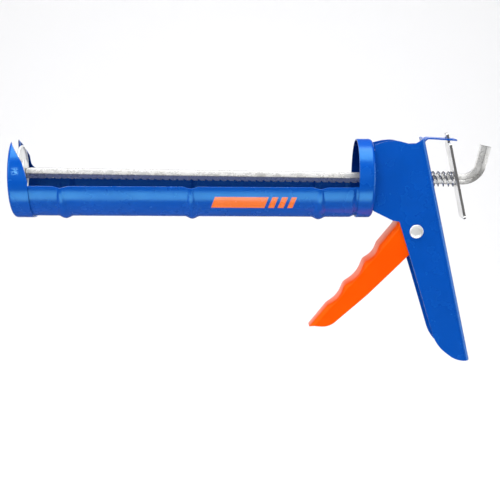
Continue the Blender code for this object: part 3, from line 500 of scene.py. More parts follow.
class Nodes:
    """A material's node tree, with short calls for the nodes used here."""

    def __init__(self, name):
        self.material = bpy.data.materials.new(name)
        self.material.use_nodes = True
        self.tree = self.material.node_tree
        self.shader = self.tree.nodes["Principled BSDF"]
        self.place = self.tree.nodes.new("ShaderNodeTexCoord").outputs["Object"]

    def link(self, source, target):
        self.tree.links.new(source, target)

    def feed(self, socket, value):
        """Links a socket to an output, or sets it to a number or a colour."""
        if hasattr(value, "is_output"):
            self.link(value, socket)
        else:
            socket.default_value = value

    def part_of_place(self, axis):
        """The X, Y or Z place on the surface, in millimetres from the barrel's own zero."""
        node = self.tree.nodes.new("ShaderNodeSeparateXYZ")
        self.link(self.place, node.inputs[0])
        metres = self.math("SUBTRACT", node.outputs[axis], BARREL["XYZ".index(axis)])
        return self.math("DIVIDE", metres, MM)

    def noise(self, grain, detail=3.0, roughness=0.55, distortion=0.0):
        """Noise from 0 to 1; grain is the size of its lumps along each axis, in millimetres."""
        scaled = self.tree.nodes.new("ShaderNodeMapping")
        self.link(self.place, scaled.inputs["Vector"])
        scaled.inputs["Scale"].default_value = [1 / (length * MM) for length in grain]
        node = self.tree.nodes.new("ShaderNodeTexNoise")
        self.link(scaled.outputs["Vector"], node.inputs["Vector"])
        node.inputs["Scale"].default_value = 1.0
        node.inputs["Detail"].default_value = detail
        node.inputs["Roughness"].default_value = roughness
        node.inputs["Distortion"].default_value = distortion
        return node.outputs["Fac"]

    def spread(self, value, low, high, to_low=0.0, to_high=1.0):
        """The value's range from low to high, stretched over another range and cut off at its ends."""
        node = self.tree.nodes.new("ShaderNodeMapRange")
        self.link(value, node.inputs["Value"])
        for name, number in zip(("From Min", "From Max", "To Min", "To Max"), (low, high, to_low, to_high)):
            node.inputs[name].default_value = number
        return node.outputs["Result"]

    def between(self, value, low, high, soft=0.2):
        """1 where the value lies between two limits, 0 elsewhere."""
        rise = self.spread(value, low - soft, low + soft)
        return self.product(rise, self.spread(value, high + soft, high - soft))

    def math(self, operation, first, second):
        node = self.tree.nodes.new("ShaderNodeMath")
        node.operation = operation
        self.feed(node.inputs[0], first)
        self.feed(node.inputs[1], second)
        return node.outputs["Value"]

    def product(self, first, *others):
        """The factors multiplied together."""
        for other in others:
            first = self.math("MULTIPLY", first, other)
        return first

    def mix(self, factor, first, second):
        """The first colour where the factor is 0, the second where it is 1."""
        node = self.tree.nodes.new("ShaderNodeMix")
        node.data_type = "RGBA"
        self.feed(node.inputs["Factor"], factor)
        self.feed(node.inputs["A"], first)
        self.feed(node.inputs["B"], second)
        return node.outputs["Result"]

    def bump(self, height, depth, strength, under=None):
        """A normal bumped by a height, this many millimetres deep, over any other bumps under it."""
        node = self.tree.nodes.new("ShaderNodeBump")
        node.inputs["Strength"].default_value = strength
        node.inputs["Distance"].default_value = depth * MM
        self.link(height, node.inputs["Height"])
        if under is not None:
            self.link(under, node.inputs["Normal"])
        return node.outputs["Normal"]

    def edges(self, width):
        """1 on rounded-over edges, 0 on open faces."""
        soft = self.tree.nodes.new("ShaderNodeBevel")
        soft.samples = 6
        soft.inputs["Radius"].default_value = width * MM
        plain = self.tree.nodes.new("ShaderNodeNewGeometry")
        turn = self.tree.nodes.new("ShaderNodeVectorMath")
        turn.operation = "DOT_PRODUCT"
        self.link(soft.outputs["Normal"], turn.inputs[0])
        self.link(plain.outputs["Normal"], turn.inputs[1])
        return self.spread(turn.outputs["Value"], 0.995, 0.9)

    def inward(self):
        """1 on faces that look towards the barrel's axis, 0 elsewhere."""
        plain = self.tree.nodes.new("ShaderNodeNewGeometry")
        parts = self.tree.nodes.new("ShaderNodeSeparateXYZ")
        self.link(plain.outputs["Normal"], parts.inputs[0])
        across = self.product(parts.outputs["Y"], self.part_of_place("Y"))
        up = self.product(parts.outputs["Z"], self.part_of_place("Z"))
        return self.spread(self.math("ADD", across, up), -5, -9)

    def left_side(self):
        """1 on the gun's left half, 0 on its right."""
        return self.spread(self.part_of_place("Y"), -1, -3)


# A plain printed stripe on the trough's left side
STRIPE_START, STRIPE_END = -93.0, -38.0
STRIPE_GAPS = ((-57.0, -54.5), (-50.5, -48.0), (-44.0, -41.5))
STRIPE_LOW, STRIPE_HIGH = -18.3, -10.3
STRIPE_SLANT = 0.35
STRIPE_COLOUR = (1.0, 0.19, 0.01, 1)
# A scratched patch on the left of the cap's rim
SCUFF_ALONG, SCUFF_HEIGHT = (-231.4, -227.4), (4.5, 8.5)
SCUFF_SOFT = 0.8
SCUFF_COLOUR = (0.18, 0.5, 0.9, 1)


def barrel_stripe(nodes, colour):
    """A plain printed stripe on the trough's left side: one long bar and three slanted ends."""
    height = nodes.part_of_place("Z")
    along = nodes.math("SUBTRACT", nodes.part_of_place("X"), nodes.product(height, STRIPE_SLANT))
    bars = nodes.between(along, STRIPE_START, STRIPE_END)
    for start, end in STRIPE_GAPS:
        bars = nodes.math("SUBTRACT", bars, nodes.between(along, start, end))
    outward = nodes.math("SUBTRACT", 1.0, nodes.inward())
    ink = nodes.product(bars, nodes.between(height, STRIPE_LOW, STRIPE_HIGH), nodes.left_side(), outward)
    return nodes.mix(ink, colour, STRIPE_COLOUR)


def scuffs(nodes, colour):
    """A small patch of scratched paint on the left of the cap's rim."""
    along = nodes.between(nodes.part_of_place("X"), *SCUFF_ALONG, SCUFF_SOFT)
    height = nodes.between(nodes.part_of_place("Z"), *SCUFF_HEIGHT, SCUFF_SOFT)
    scratch = nodes.spread(nodes.noise((2.2, 2.2, 1.1), 3, 0.6, 1.2), 0.46, 0.54)
    return nodes.mix(nodes.product(along, height, nodes.left_side(), scratch, 0.8), colour, SCUFF_COLOUR)


def enamel(name, deep, light, wear_and_highlight, tint, roughness, print_on=None, inside=None):
    """Satin enamel on pressed sheet: orange peel, a little mottling, and lighter edges that are part thin
    paint and part painted highlight; with an inside colour, painted shade on the faces that look inward.
    """
    nodes = Nodes(name)
    mottle = nodes.spread(nodes.noise((34, 26, 30), 3), 0.35, 0.65, 0.2, 0.7)
    colour = nodes.mix(mottle, deep, light)
    speck = nodes.spread(nodes.noise((0.6, 0.6, 0.6), 2), 0.7, 0.8)
    colour = nodes.mix(nodes.product(speck, 0.05), colour, wear_and_highlight)
    nodes.shader.inputs["Specular IOR Level"].default_value = 0.9
    # Painted shade: given an inside colour, the faces that look inward are darkened towards it and reflect
    # less, standing in for the shade inside the barrel.
    if inside:
        inward = nodes.inward()
        colour = nodes.mix(nodes.product(inward, 0.92), colour, inside)
        nodes.link(nodes.spread(inward, 0, 1, 0.9, 0.25), nodes.shader.inputs["Specular IOR Level"])
    if print_on:
        colour = print_on(nodes, colour)
    # Lighter edges: part thin paint rubbed through, part a painted highlight where the rounded edges catch
    # the light.
    rubbed_and_highlit_edges = nodes.product(nodes.edges(0.5), nodes.spread(nodes.noise((5, 5, 5), 4), 0.42, 0.62), 0.35)
    colour = nodes.mix(rubbed_and_highlit_edges, colour, wear_and_highlight)
    nodes.link(colour, nodes.shader.inputs["Base Color"])
    gloss = nodes.spread(nodes.noise((16, 16, 16), 4), 0.3, 0.7, roughness - 0.03, roughness + 0.04)
    nodes.link(gloss, nodes.shader.inputs["Roughness"])
    peel = nodes.bump(nodes.noise((1.5, 1.5, 1.5), 2), 0.005, 0.25)
    ripple = nodes.bump(nodes.noise((14, 14, 14), 1), 0.02, 0.25, under=peel)
    nodes.link(ripple, nodes.shader.inputs["Normal"])
    nodes.shader.inputs["Specular Tint"].default_value = tint
    return nodes.material


def plated(name, colour, tint, roughness, grain, bump=0.006, metallic=0.95, rim=None):
    """Bright plated steel: drawing lines along the grain, faint stains and handling marks; a rim colour
    paints dark reflections on the edges.
    """
    nodes = Nodes(name)
    stain = nodes.spread(nodes.noise((14, 11, 11), 4, distortion=0.4), 0.4, 0.75)
    base = nodes.mix(nodes.product(stain, 0.6), colour, tint)
    lines = nodes.noise(grain, 4, 0.7)
    dark = [part * 0.55 for part in colour[:3]] + [1]
    base = nodes.mix(nodes.spread(lines, 0.55, 0.85, 0, 0.35), base, dark)
    # Painted reflection: the edges are darkened towards the rim colour, as though they mirrored dark
    # surroundings.
    if rim:
        base = nodes.mix(nodes.product(nodes.edges(0.9), 0.95), base, rim)
    nodes.link(base, nodes.shader.inputs["Base Color"])
    nodes.shader.inputs["Metallic"].default_value = metallic
    smear = nodes.spread(nodes.noise((6, 5, 5), 4), 0.3, 0.7, roughness * 0.7, roughness * 1.25)
    gloss = nodes.math("ADD", smear, nodes.spread(lines, 0.4, 0.8, 0, 0.08))
    nodes.link(gloss, nodes.shader.inputs["Roughness"])
    marks = nodes.bump(nodes.noise((1.2, 1.2, 1.2), 3), bump * 2, 0.25)
    nodes.link(nodes.bump(lines, bump, 0.6, under=marks), nodes.shader.inputs["Normal"])
    return nodes.material


# Painted shade: this dark navy is mixed onto the blue's faces that look towards the barrel's axis, in place
# of the shade inside the trough, cap and collar.
PAINTED_INNER_SHADE = (0.0, 0.015, 0.12, 1)
# Each paint: deep, light and worn colours, the worn one also a painted highlight on the edges, the tint of
# its reflections and its roughness
BLUE_PAINT = ((0.0, 0.07, 0.44, 1), (0.0, 0.08, 0.5, 1), (0.02, 0.17, 0.62, 1), (0.22, 0.82, 1, 1), 0.26)
ORANGE_PAINT = ((1.0, 0.075, 0.0, 1), (1.0, 0.1, 0.0, 1), (1.0, 0.26, 0.03, 1), (1, 0.5, 0.05, 1), 0.36)
BLUE = enamel("blue_enamel", *BLUE_PAINT)
# These three blues carry the painted shade on their inward faces.
PRINTED_INNER_SHADED = enamel("blue_enamel_printed_inner_shaded", *BLUE_PAINT, print_on=barrel_stripe, inside=PAINTED_INNER_SHADE)
SCUFFED_INNER_SHADED = enamel("blue_enamel_scuffed_inner_shaded", *BLUE_PAINT, print_on=scuffs, inside=PAINTED_INNER_SHADE)
SHADED = enamel("blue_enamel_shaded", *BLUE_PAINT, inside=PAINTED_INNER_SHADE)
ORANGE = enamel("orange_enamel", *ORANGE_PAINT)
ZINC = plated(
    "zinc_plate", (0.95, 0.95, 0.94, 1), (0.9, 0.89, 0.86, 1), 0.36, (0.4, 6, 0.4), metallic=0.5,
)
# The bar's near-black rim colour is a painted dark reflection on its edges.
BAR = plated(
    "bright_bar", (0.72, 0.72, 0.71, 1), (0.62, 0.6, 0.56, 1), 0.26, (30, 0.25, 0.25), 0.002, 0.7,
    rim=(0.01, 0.01, 0.012, 1),
)
STRIP = plated("bright_strip", (0.78, 0.78, 0.77, 1), (0.66, 0.64, 0.6, 1), 0.3, (0.3, 0.3, 24))
WIRE = plated("spring_wire", (0.62, 0.63, 0.64, 1), (0.5, 0.48, 0.44, 1), 0.25, (0.5, 3, 0.5))


# ---------------------------------------------------------------- barrel

def bump_shape(distance, half_width):
    """A smooth hump, 1 in the middle and 0 from the half width on."""
    share = min(abs(distance) / half_width, 1.0)
    return math.cos(share * math.pi / 2) ** 2


def fading(least, angle):
    """1 at the trough's bottom, falling towards its edges to this least share at a right angle."""
    return least + (1 - least) * math.cos(angle)


def trough_point(x, share):
    """The trough's inner face, at x, share being -1 at one edge and +1 at the other."""
    dip = sum(bump_shape(x - rib, EDGE_DIP_HALF_WIDTH) for rib in RIB_PLACES) * EDGE_DIP
    angle = math.acos((TROUGH_EDGE_DROP + dip) / TROUGH_INNER) * share
    half_width = RIB_HALF_WIDTH * fading(RIB_EDGE_WIDTH_SHARE, angle)
    swell = sum(bump_shape(x - rib, half_width) for rib in RIB_PLACES)
    neck = min(max((x - TROUGH_NECK_FROM) / (TROUGH_NECK_TO - TROUGH_NECK_FROM), 0), 1)
    step_in = TROUGH_NECK * (1 - math.cos(math.pi * neck)) / 2
    radius = TROUGH_INNER - step_in + swell * RIB_DEPTH * fading(RIB_EDGE_DEPTH_SHARE, angle)
    return Vector((x, radius * math.sin(angle), -radius * math.cos(angle))) * MM


def trough_stations():
    """The places along the trough where it has a ring of points, closest together at the ribs."""
    start, end = TROUGH_ENDS
    neck = TROUGH_NECK_TO - TROUGH_NECK_FROM
    stations = {start, end}
    for rib in RIB_PLACES:
        steps = range(-RIB_STEPS, RIB_STEPS + 1)
        stations.update(rib + EDGE_DIP_HALF_WIDTH * step / RIB_STEPS for step in steps)
    stations.update(start + (end - start) * step / TROUGH_STEPS for step in range(1, TROUGH_STEPS))
    stations.update(TROUGH_NECK_FROM + neck * step / NECK_STEPS for step in range(NECK_STEPS + 1))
    return sorted(stations)


def make_trough():
    """The open half barrel: thin sheet with three pressed ribs and a step in at its rear."""
    stations = trough_stations()
    last = len(stations) - 1
    shape = bmesh.new()
    bmesh.ops.create_grid(shape, x_segments=last, y_segments=TROUGH_STEPS_AROUND, size=1)
    for vertex in shape.verts:
        column = round((vertex.co.x + 1) / 2 * last)
        vertex.co = trough_point(stations[column], vertex.co.y)
    obj = bpy.data.objects.new("trough", mesh_from(shape, "trough"))
    sheet = obj.modifiers.new("sheet", "SOLIDIFY")
    sheet.thickness = TROUGH_SHEET * MM
    sheet.offset = -1
    sheet.use_even_offset = True
    sheet.use_quality_normals = True
    piece("trough_shell", evaluated_mesh(obj), "frame", "cradle", PRINTED_INNER_SHADED, sharp=50)


def ear_cut(edge, foot, start, end):
    """What is taken off one side of the cap, behind the ear's edge and above the ear's foot."""
    rear = CAP_FRONT + CAP_DEPTH
    behind = rear + 0.2
    corners = [(CAP_FRONT + back, up, radius) for back, up, radius in edge]
    corners += [(behind, foot, CAP_FOOT_CORNER), (behind, -4, 0), (rear + 20, -4, 0), (rear + 20, CLEAR, 0)]
    return prism(rounded(corners), "Y", start, end)


def make_cap():
    """The front cap: a turned cup with a raised pad, a slot for the nozzle and two cut-down ears."""
    inner = CAP_RADIUS - RIM_SHEET
    wall = CAP_FRONT + RIM_SHEET
    rear = CAP_FRONT + CAP_DEPTH
    bend = CAP_CORNER - RIM_SHEET
    hollow = CAP_FACE + RIM_SHEET
    hollow_radius = PAD_RADIUS - PAD_HOLLOW
    round_in = (hollow + PAD_HOLLOW_CORNER, hollow_radius + PAD_HOLLOW_CORNER / 2)
    profile = [(hollow, 0), (hollow, hollow_radius)]
    profile += arc(round_in, PAD_HOLLOW_CORNER, 240, 300, 3)[1:]
    profile += [(wall, PAD_RADIUS - 0.2)]
    profile += arc((wall + bend, inner - bend), bend, 180, 90, 8)
    profile += [(rear, inner), (rear, CAP_RADIUS)]
    profile += arc((CAP_FRONT + CAP_CORNER, CAP_RADIUS - CAP_CORNER), CAP_CORNER, 90, 180, 10)
    profile += [(CAP_FACE + back, PAD_RADIUS + out) for back, out in PAD_SHOULDER]
    profile += [(CAP_FACE, 0)]
    half = NOZZLE_SLOT_HALF
    slot = arc((0, 0), half, 180, 360, 48) + [(half, CLEAR), (-half, CLEAR)]
    mesh = carve(
        turned(profile),
        ("DIFFERENCE", prism(slot, "X", CAP_FRONT - 10, rear + 10)),
        ("DIFFERENCE", ear_cut(LEFT_EAR, LEFT_EAR_FOOT, -CLEAR, 0)),
        ("DIFFERENCE", ear_cut(RIGHT_EAR, RIGHT_EAR_FOOT, 0, CLEAR)),
    )
    piece("cap_shell", mesh, "frame", "front_cap", SCUFFED_INNER_SHADED)


def make_collar():
    """The rear collar: a turned cup, open to the front, with a round hole for the rod."""
    inner = COLLAR_RADIUS - RIM_SHEET
    back = COLLAR_DEPTH
    bend = COLLAR_CORNER - RIM_SHEET
    profile = [(0, inner)]
    profile += arc((back - COLLAR_CORNER, inner - bend), bend, 90, 0, 8)
    profile += [(back - RIM_SHEET, ROD_HOLE), (back, ROD_HOLE)]
    profile += arc((back - COLLAR_CORNER, COLLAR_RADIUS - COLLAR_CORNER), COLLAR_CORNER, 0, 90, 12)
    profile += [(0, COLLAR_RADIUS)]
    piece("collar_shell", turned(profile, closed=True), "frame", "rear_collar", SHADED)


# ---------------------------------------------------------------- handle

def spine_x(z):
    """Where the handle's back face is, at height z."""
    return SPINE_TOP[0] + (SPINE_TOP[1] - z) * math.tan(LEAN)


def handle_outline():
    """The handle from the side, its back a straight line from its top to its foot."""
    foot = HANDLE_BOTTOM
    return rounded([
        (HANDLE_FRONT, 24.2, 0.8), *HANDLE_BROW,
        (43.6, HANDLE_TOP - 0.4, 2), (spine_x(HANDLE_TOP), HANDLE_TOP, 0),
        (spine_x(foot), foot, 1.2), (72.5, -127.2, 18), (58.0, -116.0, 26),
        (44.2, -73.0, 80), (29.5, -28.3, 1.6), (25.0, -27.7, 3), (HANDLE_FRONT, -21.0, 0.8),
    ])


def right_side_drop():
    """What is taken off the top of the handle's right side plate, which stands lower than the left."""
    line = [(0.0, RIGHT_SIDE_FRONT, 0), *HANDLE_BROW]
    lowered = [(x, z - RIGHT_SIDE_DROP, radius) for x, z, radius in line]
    end = (*RIGHT_SIDE_END, 0)
    return rounded(lowered + [end, (RIGHT_SIDE_END[0], CLEAR, 0), (0.0, CLEAR, 0)])


def tab_outline():
    """The tab at the top of the handle's back, folded to the rear to carry the catch plate."""
    lean = Vector((-math.sin(LEAN), math.cos(LEAN)))
    start = Vector((spine_x(TAB_ROOT_Z), TAB_ROOT_Z))
    root = start - lean * TAB_OVERLAP
    top = start + lean * TAB_FOLD
    tip = Vector(TAB_END)
    inward = Vector((-lean.y, lean.x)) * TAB_SHEET
    along = (tip - top).normalized()
    up = Vector((-along.y, along.x)) * TAB_SHEET
    corner = top + inward + up + lean * 0.2
    return rounded([
        (*root, 0), (*top, 3.0), (*tip, 0), (*(tip + up), 0.4), (*corner, 4.0), (*(root + inward), 0),
    ])


def spine_bar(half, depth, radius, steps):
    """A long bar along the handle's back, its rear face this deep, its rear corners round."""
    low = -depth - radius
    outline = [(-half, -SPINE_REACH), (half, -SPINE_REACH)]
    outline += arc((half - radius, low), radius, 0, 90, steps)
    outline += arc((radius - half, low), radius, 90, 180, steps)
    mesh = prism(outline, "X", -SPINE_REACH, 2 * SPINE_REACH)
    turn = Matrix.Rotation(math.pi / 2 - LEAN, 4, "Y")
    mesh.transform(Matrix.Translation(Vector((SPINE_TOP[0], 0, SPINE_TOP[1])) * MM) @ turn)
    return mesh


def make_handle():
    """The handle: one folded sheet, open to the front, with the tab for the catch plate."""
    inside = HANDLE_HALF - HANDLE_SHEET
    near, far = PLATE_HINGE_X - TAB_SLOT_HALF, PLATE_HINGE_X + TAB_SLOT_HALF
    low, high = TAB_SLOT_ENDS
    window = [(near, low), (far, low), (far, high), (near, high)]
    half = PLATE_NECK_HALF + PLATE_NECK_PLAY
    mesh = carve(
        prism(handle_outline(), "Y", -HANDLE_HALF - 2, HANDLE_HALF + 2),
        ("INTERSECT", spine_bar(HANDLE_HALF, SPINE_SKIM, SPINE_BEND, 14)),
        ("DIFFERENCE", spine_bar(inside, HANDLE_SHEET, SPINE_BEND - HANDLE_SHEET, 10)),
        ("DIFFERENCE", prism(right_side_drop(), "Y", TAB_HALF + GAP, HANDLE_HALF + 1)),
        ("UNION", prism(tab_outline(), "Y", -TAB_HALF, TAB_HALF)),
        ("DIFFERENCE", prism(window, "Y", -half, half)),
        ("DIFFERENCE", cylinder("X", (0, 0), ROD_HOLE, *SPINE_HOLE_ENDS)),
        ("DIFFERENCE", cylinder("Y", PIVOT, PIVOT_SHANK + GAP, -CLEAR, CLEAR)),
    )
    piece("handle_shell", mesh, "frame", "handle", BLUE)


def make_pivot():
    """The trigger's pivot rivet, with a domed head on either side of the handle."""
    face = HANDLE_HALF + GAP
    head = []
    for angle in range(0, 88, 6):
        up, out = math.cos(math.radians(angle)) ** 0.8, math.sin(math.radians(angle)) ** 0.9
        head.append((face + RIVET_DOME * up, RIVET_HEAD * out))
    head += [(face + up, RIVET_HEAD + out) for up, out in RIVET_LIP] + [(face, PIVOT_SHANK)]
    rivet = turned(head + [(-along, radius) for along, radius in reversed(head)], "Y", PIVOT, 96)
    piece("pivot_rivet_heads", rivet, "frame", "pivot_rivet", ZINC, edge=0)


# ---------------------------------------------------------------- trigger

FACE_TIP, FACE_HEAD = Vector(TRIGGER_TIP), Vector(TRIGGER_HEAD)
UP_THE_FACE = (FACE_HEAD - FACE_TIP).normalized()


def groove_depth(place):
    """How deep the finger face is pressed in, this far up from its tip."""
    for start, end, depth in GROOVES:
        if start <= place <= end:
            swing = math.sin(math.pi * (place - start) / (end - start))
            eased = math.hypot(swing, GROOVE_EASE) - GROOVE_EASE
            return depth * eased / (math.hypot(1, GROOVE_EASE) - GROOVE_EASE)
    return 0.0


def trigger_front(share, sheet=0.0):
    """The finger face from the tip up, share going from 0 on the face to 1 where a side begins."""
    back = Vector((UP_THE_FACE.y, -UP_THE_FACE.x))
    first = GROOVES[0][0]
    places = [first * step / TIP_STEPS for step in range(TIP_STEPS)]
    places += [GROOVES[-1][1], (FACE_HEAD - FACE_TIP).length]
    for start, end, _ in GROOVES:
        places += [start + (end - start) * step / GROOVE_STEPS for step in range(GROOVE_STEPS)]
    points = []
    for place in sorted(places):
        place += TRIGGER_TIP_STEP * share * max(1 - place / first, 0)
        sunk = (groove_depth(place) + sheet) * (1 - share) + TRIGGER_BEND * share
        points.append(tuple(FACE_TIP + UP_THE_FACE * place + back * sunk))
    return points


def bent_prism(front, rest, half, bend):
    """A prism along Y whose front face slopes back to its two sides and folds over into them."""
    layers = [(half - bend * inset, share) for inset, share in FOLD]
    layers = [(-y, share) for y, share in reversed(layers)] + layers
    shape = bmesh.new()
    rings = []
    for y, share in layers:
        rings.append([shape.verts.new(Vector((x, y, z)) * MM) for x, z in front(share) + rest])
    for ring, following in zip(rings, rings[1:]):
        for index in range(len(ring)):
            after = (index + 1) % len(ring)
            shape.faces.new((ring[index], ring[after], following[after], following[index]))
    shape.faces.new(rings[0])
    shape.faces.new(rings[-1])
    bmesh.ops.recalc_face_normals(shape, faces=shape.faces)
    bmesh.ops.triangulate(shape, faces=[face for face in shape.faces if len(face.verts) > 4])
    return mesh_from(shape, "bent_prism")


def tapered(mesh, half):
    """Draws a trigger-shaped mesh in towards the finger face's tip; half is its own half width."""
    start = (FACE_TIP + UP_THE_FACE * TRIGGER_TAPER_END) * MM
    shape = bmesh.new()
    shape.from_mesh(mesh)
    bmesh.ops.bisect_plane(
        shape, geom=shape.verts[:] + shape.edges[:] + shape.faces[:],
        plane_co=(start.x, 0, start.y), plane_no=(UP_THE_FACE.x, 0, UP_THE_FACE.y),
    )
    for vertex in shape.verts:
        place = (Vector((vertex.co.x / MM, vertex.co.z / MM)) - FACE_TIP).dot(UP_THE_FACE)
        share = min(place / TRIGGER_TAPER_END, 1)
        taken = (TRIGGER_HALF - TRIGGER_TIP_HALF) * (1 - share)
        vertex.co.y *= (half - taken) / half
    bmesh.ops.triangulate(shape, faces=shape.faces)
    shape.to_mesh(mesh)
    shape.free()
    return mesh


def make_trigger():
    """The trigger: a folded sheet, open to the rear, with three finger grooves and two pin holes."""
    lobe = arc(PAWL_PIVOT, TRIGGER_LOBE, 150, -30, 24)
    heel = arc(PIVOT, TRIGGER_HEEL, 10, -50, 12)
    rest = [TRIGGER_BROW] + lobe + heel + rounded(TRIGGER_BELLY)
    inside = TRIGGER_HALF - TRIGGER_SHEET
    run = UP_THE_FACE * TRIGGER_ROOM_OVERRUN

    def inner_front(share):
        line = trigger_front(share, TRIGGER_SHEET)
        return [tuple(Vector(line[0]) - run)] + line + [tuple(Vector(line[-1]) + run)]

    hollow = bent_prism(inner_front, TRIGGER_ROOM, inside, TRIGGER_BEND - TRIGGER_SHEET)
    mesh = carve(
        tapered(bent_prism(trigger_front, rest, TRIGGER_HALF, TRIGGER_BEND), TRIGGER_HALF),
        ("DIFFERENCE", tapered(hollow, inside)),
        ("DIFFERENCE", cylinder("Y", PIVOT, PIVOT_SHANK + GAP, -CLEAR, CLEAR)),
        ("DIFFERENCE", cylinder("Y", PAWL_PIVOT, PAWL_PIN + GAP, -CLEAR, CLEAR)),
    )
    piece("trigger_shell", mesh, "trigger", "trigger", ORANGE)


# ---------------------------------------------------------------- rod and plunger

def rod_blank():
    """The hexagonal bar, its rear end bent up into a hook."""
    corners = []
    for index in range(6):
        angle = math.radians(60 * index)
        corners.append((ROD_CORNER * math.cos(angle), ROD_CORNER * math.sin(angle), ROD_CORNER_ROUND))
    outline = [(across, up, 0) for across, up in rounded(corners)]
    hexagon = line_through(outline, "hexagon", flat=True)
    path = [(ROD_FRONT, 0), (HOOK_START, 0)]
    path += arc((HOOK_START, HOOK_RADIUS), HOOK_RADIUS, -90, math.degrees(HOOK_ANGLE) - 90, 40)[1:]
    rise = HOOK_TIP_HEIGHT - path[-1][1]
    path.append((path[-1][0] + rise / math.tan(HOOK_ANGLE), HOOK_TIP_HEIGHT))
    rod = line_through([(x, 0, z) for x, z in path], "rod")
    rod.data.bevel_mode = "OBJECT"
    rod.data.bevel_object = hexagon
    rod.data.use_fill_caps = True
    mesh = welded_mesh(rod)
    bpy.data.objects.remove(hexagon, do_unlink=True)
    return mesh


def tooth_cuts():
    """The row of notches along the rod's underside, as one mesh."""
    flat = -ROD_FLATS / 2
    teeth = bmesh.new()
    for number in range(TOOTH_COUNT):
        x = TOOTH_FIRST + TOOTH_PITCH * number
        notch = [
            (x, flat - 1), (x + TOOTH_WIDTH * 1.6, flat - 1), (x + TOOTH_WIDTH, flat),
            (x + TOOTH_WIDTH * 0.2, flat + TOOTH_DEPTH), (x, flat + TOOTH_DEPTH),
        ]
        teeth.from_mesh(prism(notch, "Y", -TOOTH_CUT_HALF, TOOTH_CUT_HALF))
    return mesh_from(teeth, "teeth")


def make_rod():
    """The toothed rod, with a thinner stub at its front, peened over the plunger's disc."""
    back = DISC_FRONT + DISC_RECESS - GAP
    root = ROD_FRONT + STUB_ROOT
    stub = [(root, 0), (root, STUB_RADIUS), (back, STUB_RADIUS)]
    stub += [(back - forward, STUB_RADIUS + out) for forward, out in STUB_HEAD]
    stub += [(back - STUB_HEAD_DEPTH, 0)]
    mesh = carve(rod_blank(), ("DIFFERENCE", tooth_cuts()), ("UNION", turned(stub, steps=64)))
    mesh.transform(RAISED)
    piece("rod_bar", mesh, "rod", "rod", BAR, edge=0.12)


def make_plunger():
    """The plunger: a dished disc with a rolled rim, and the washer that backs it."""
    bore = STUB_RADIUS + GAP
    rear = DISC_FRONT + DISC_SHEET
    lip = DISC_FRONT + DISC_DEPTH
    dish = DISC_FRONT + DISC_RECESS
    profile = [(lip, DISC_RADIUS)]
    profile += arc((DISC_FRONT + DISC_CORNER, DISC_RADIUS - DISC_CORNER), DISC_CORNER, 90, 180, 10)
    profile += [(DISC_FRONT, DISC_RECESS_RADIUS), (dish, DISC_RECESS_RADIUS - 1.2), (dish, bore)]
    profile += [(dish + DISC_SHEET, bore), (dish + DISC_SHEET, DISC_RECESS_RADIUS - 0.7)]
    profile += [(rear, DISC_RECESS_RADIUS + 0.5), (rear, DISC_RADIUS - 1.8)]
    profile += [(rear + 0.4, DISC_RADIUS - DISC_SHEET), (lip, DISC_RADIUS - DISC_SHEET)]
    plate = turned(profile, closed=True)
    plate.transform(RAISED)
    piece("plunger_plate", plate, "plunger", "plunger_disc", ZINC, edge=0.15)
    near = dish + DISC_SHEET + GAP
    far = ROD_FRONT - GAP
    outline = [
        (far, WASHER_RADIUS - WASHER_CORNER), (far - WASHER_CORNER, WASHER_RADIUS),
        (near, WASHER_RADIUS), (near, bore), (far, bore),
    ]
    washer = turned(outline, steps=96, closed=True)
    washer.transform(RAISED)
    piece("backing_washer", washer, "plunger", "plunger_washer", ZINC, edge=0.1)


# ---------------------------------------------------------------- catch plate and springs

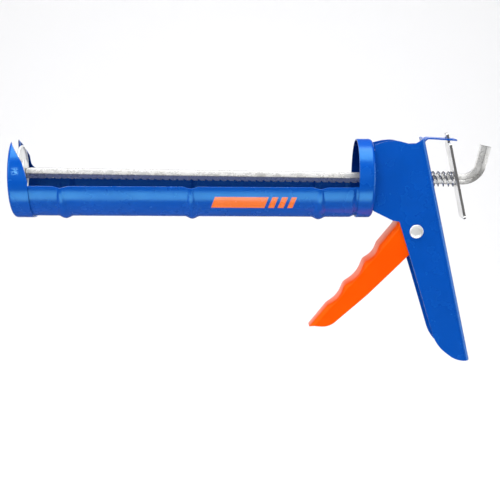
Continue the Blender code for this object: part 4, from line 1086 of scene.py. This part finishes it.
def make_catch_plate():
    """The catch plate: a leaning strip with a narrow neck and a hole for the rod."""
    half, neck = PLATE_HALF, PLATE_NECK_HALF
    bottom = PLATE_TOP - PLATE_LENGTH
    strip = rounded([
        (neck, PLATE_TOP, 1.2), (neck, PLATE_NECK_FROM, 0.8), (half, PLATE_NECK_FROM, 1.2),
        (half, bottom, 3), (-half, bottom, 3), (-half, PLATE_NECK_FROM, 1.2),
        (-neck, PLATE_NECK_FROM, 0.8), (-neck, PLATE_TOP, 1.2),
    ])
    low, high = PLATE_HOLE_ENDS
    oval = arc((0, low), PLATE_HOLE, 180, 360, 32) + arc((0, high), PLATE_HOLE, 0, 180, 32)
    sheet = prism(strip, "X", -PLATE_SHEET / 2, PLATE_SHEET / 2)
    mesh = carve(sheet, ("DIFFERENCE", prism(oval, "X", -10, 10)))
    mesh.transform(Matrix.Translation((PLATE_AXIS_X * MM, 0, 0)) @ Matrix.Rotation(-LEAN, 4, "Y"))
    piece("catch_strip", mesh, "catch_plate", "catch_plate", STRIP, edge=0.3)


def make_catch_spring():
    """The coil round the rod between handle and catch plate, its turns closed up at both ends."""
    end_play = SPRING_WIRE / 2 + SPRING_PLAY
    start = spine_x(0) + end_play
    end = PLATE_AXIS_X - PLATE_SHEET / 2 / math.cos(LEAN) - end_play
    count = round(SPRING_TURNS * SPRING_STEPS)
    closed = SPRING_CLOSED_FRONT + SPRING_CLOSED_REAR
    closed_pitch = SPRING_WIRE + SPRING_CLOSED_GAP
    open_pitch = (end - start - closed * closed_pitch) / (SPRING_TURNS - closed)
    points = []
    x = start
    for step in range(count + 1):
        turn = SPRING_TURNS * step / count
        angle = 2 * math.pi * turn + math.pi / 2
        y, z = SPRING_MEAN * math.cos(angle), SPRING_MEAN * math.sin(angle)
        points.append((x - z * math.tan(LEAN), y, z))
        is_closed = turn < SPRING_CLOSED_FRONT or turn >= SPRING_TURNS - SPRING_CLOSED_REAR
        x += (closed_pitch if is_closed else open_pitch) * SPRING_TURNS / count
    coil = wire(points, SPRING_WIRE)
    coil.transform(RAISED)
    piece("catch_coil", coil, "frame", "catch_spring", WIRE, edge=0)


def finish_inner_nodes():
    """The small steel pieces inside the handle keep their CAD shapes and take a plated finish."""
    finishes = {
        "front_bracket": ZINC, "pivot_bush": ZINC, "pawl_pin": ZINC, "pawl_spacer": ZINC,
        "drive_pawl": STRIP, "trigger_spring": WIRE, "pawl_spring": WIRE,
    }
    finishes.update({f"collar_rivet_{number}": ZINC for number in range(1, 5)})
    for name, material in finishes.items():
        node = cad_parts[name]
        node.data.materials.clear()
        node.data.materials.append(material)


make_camera()
make_lights()
make_floor()
make_trough()
make_cap()
make_collar()
make_handle()
make_pivot()
make_trigger()
make_rod()
make_plunger()
make_catch_plate()
make_catch_spring()
finish_inner_nodes()
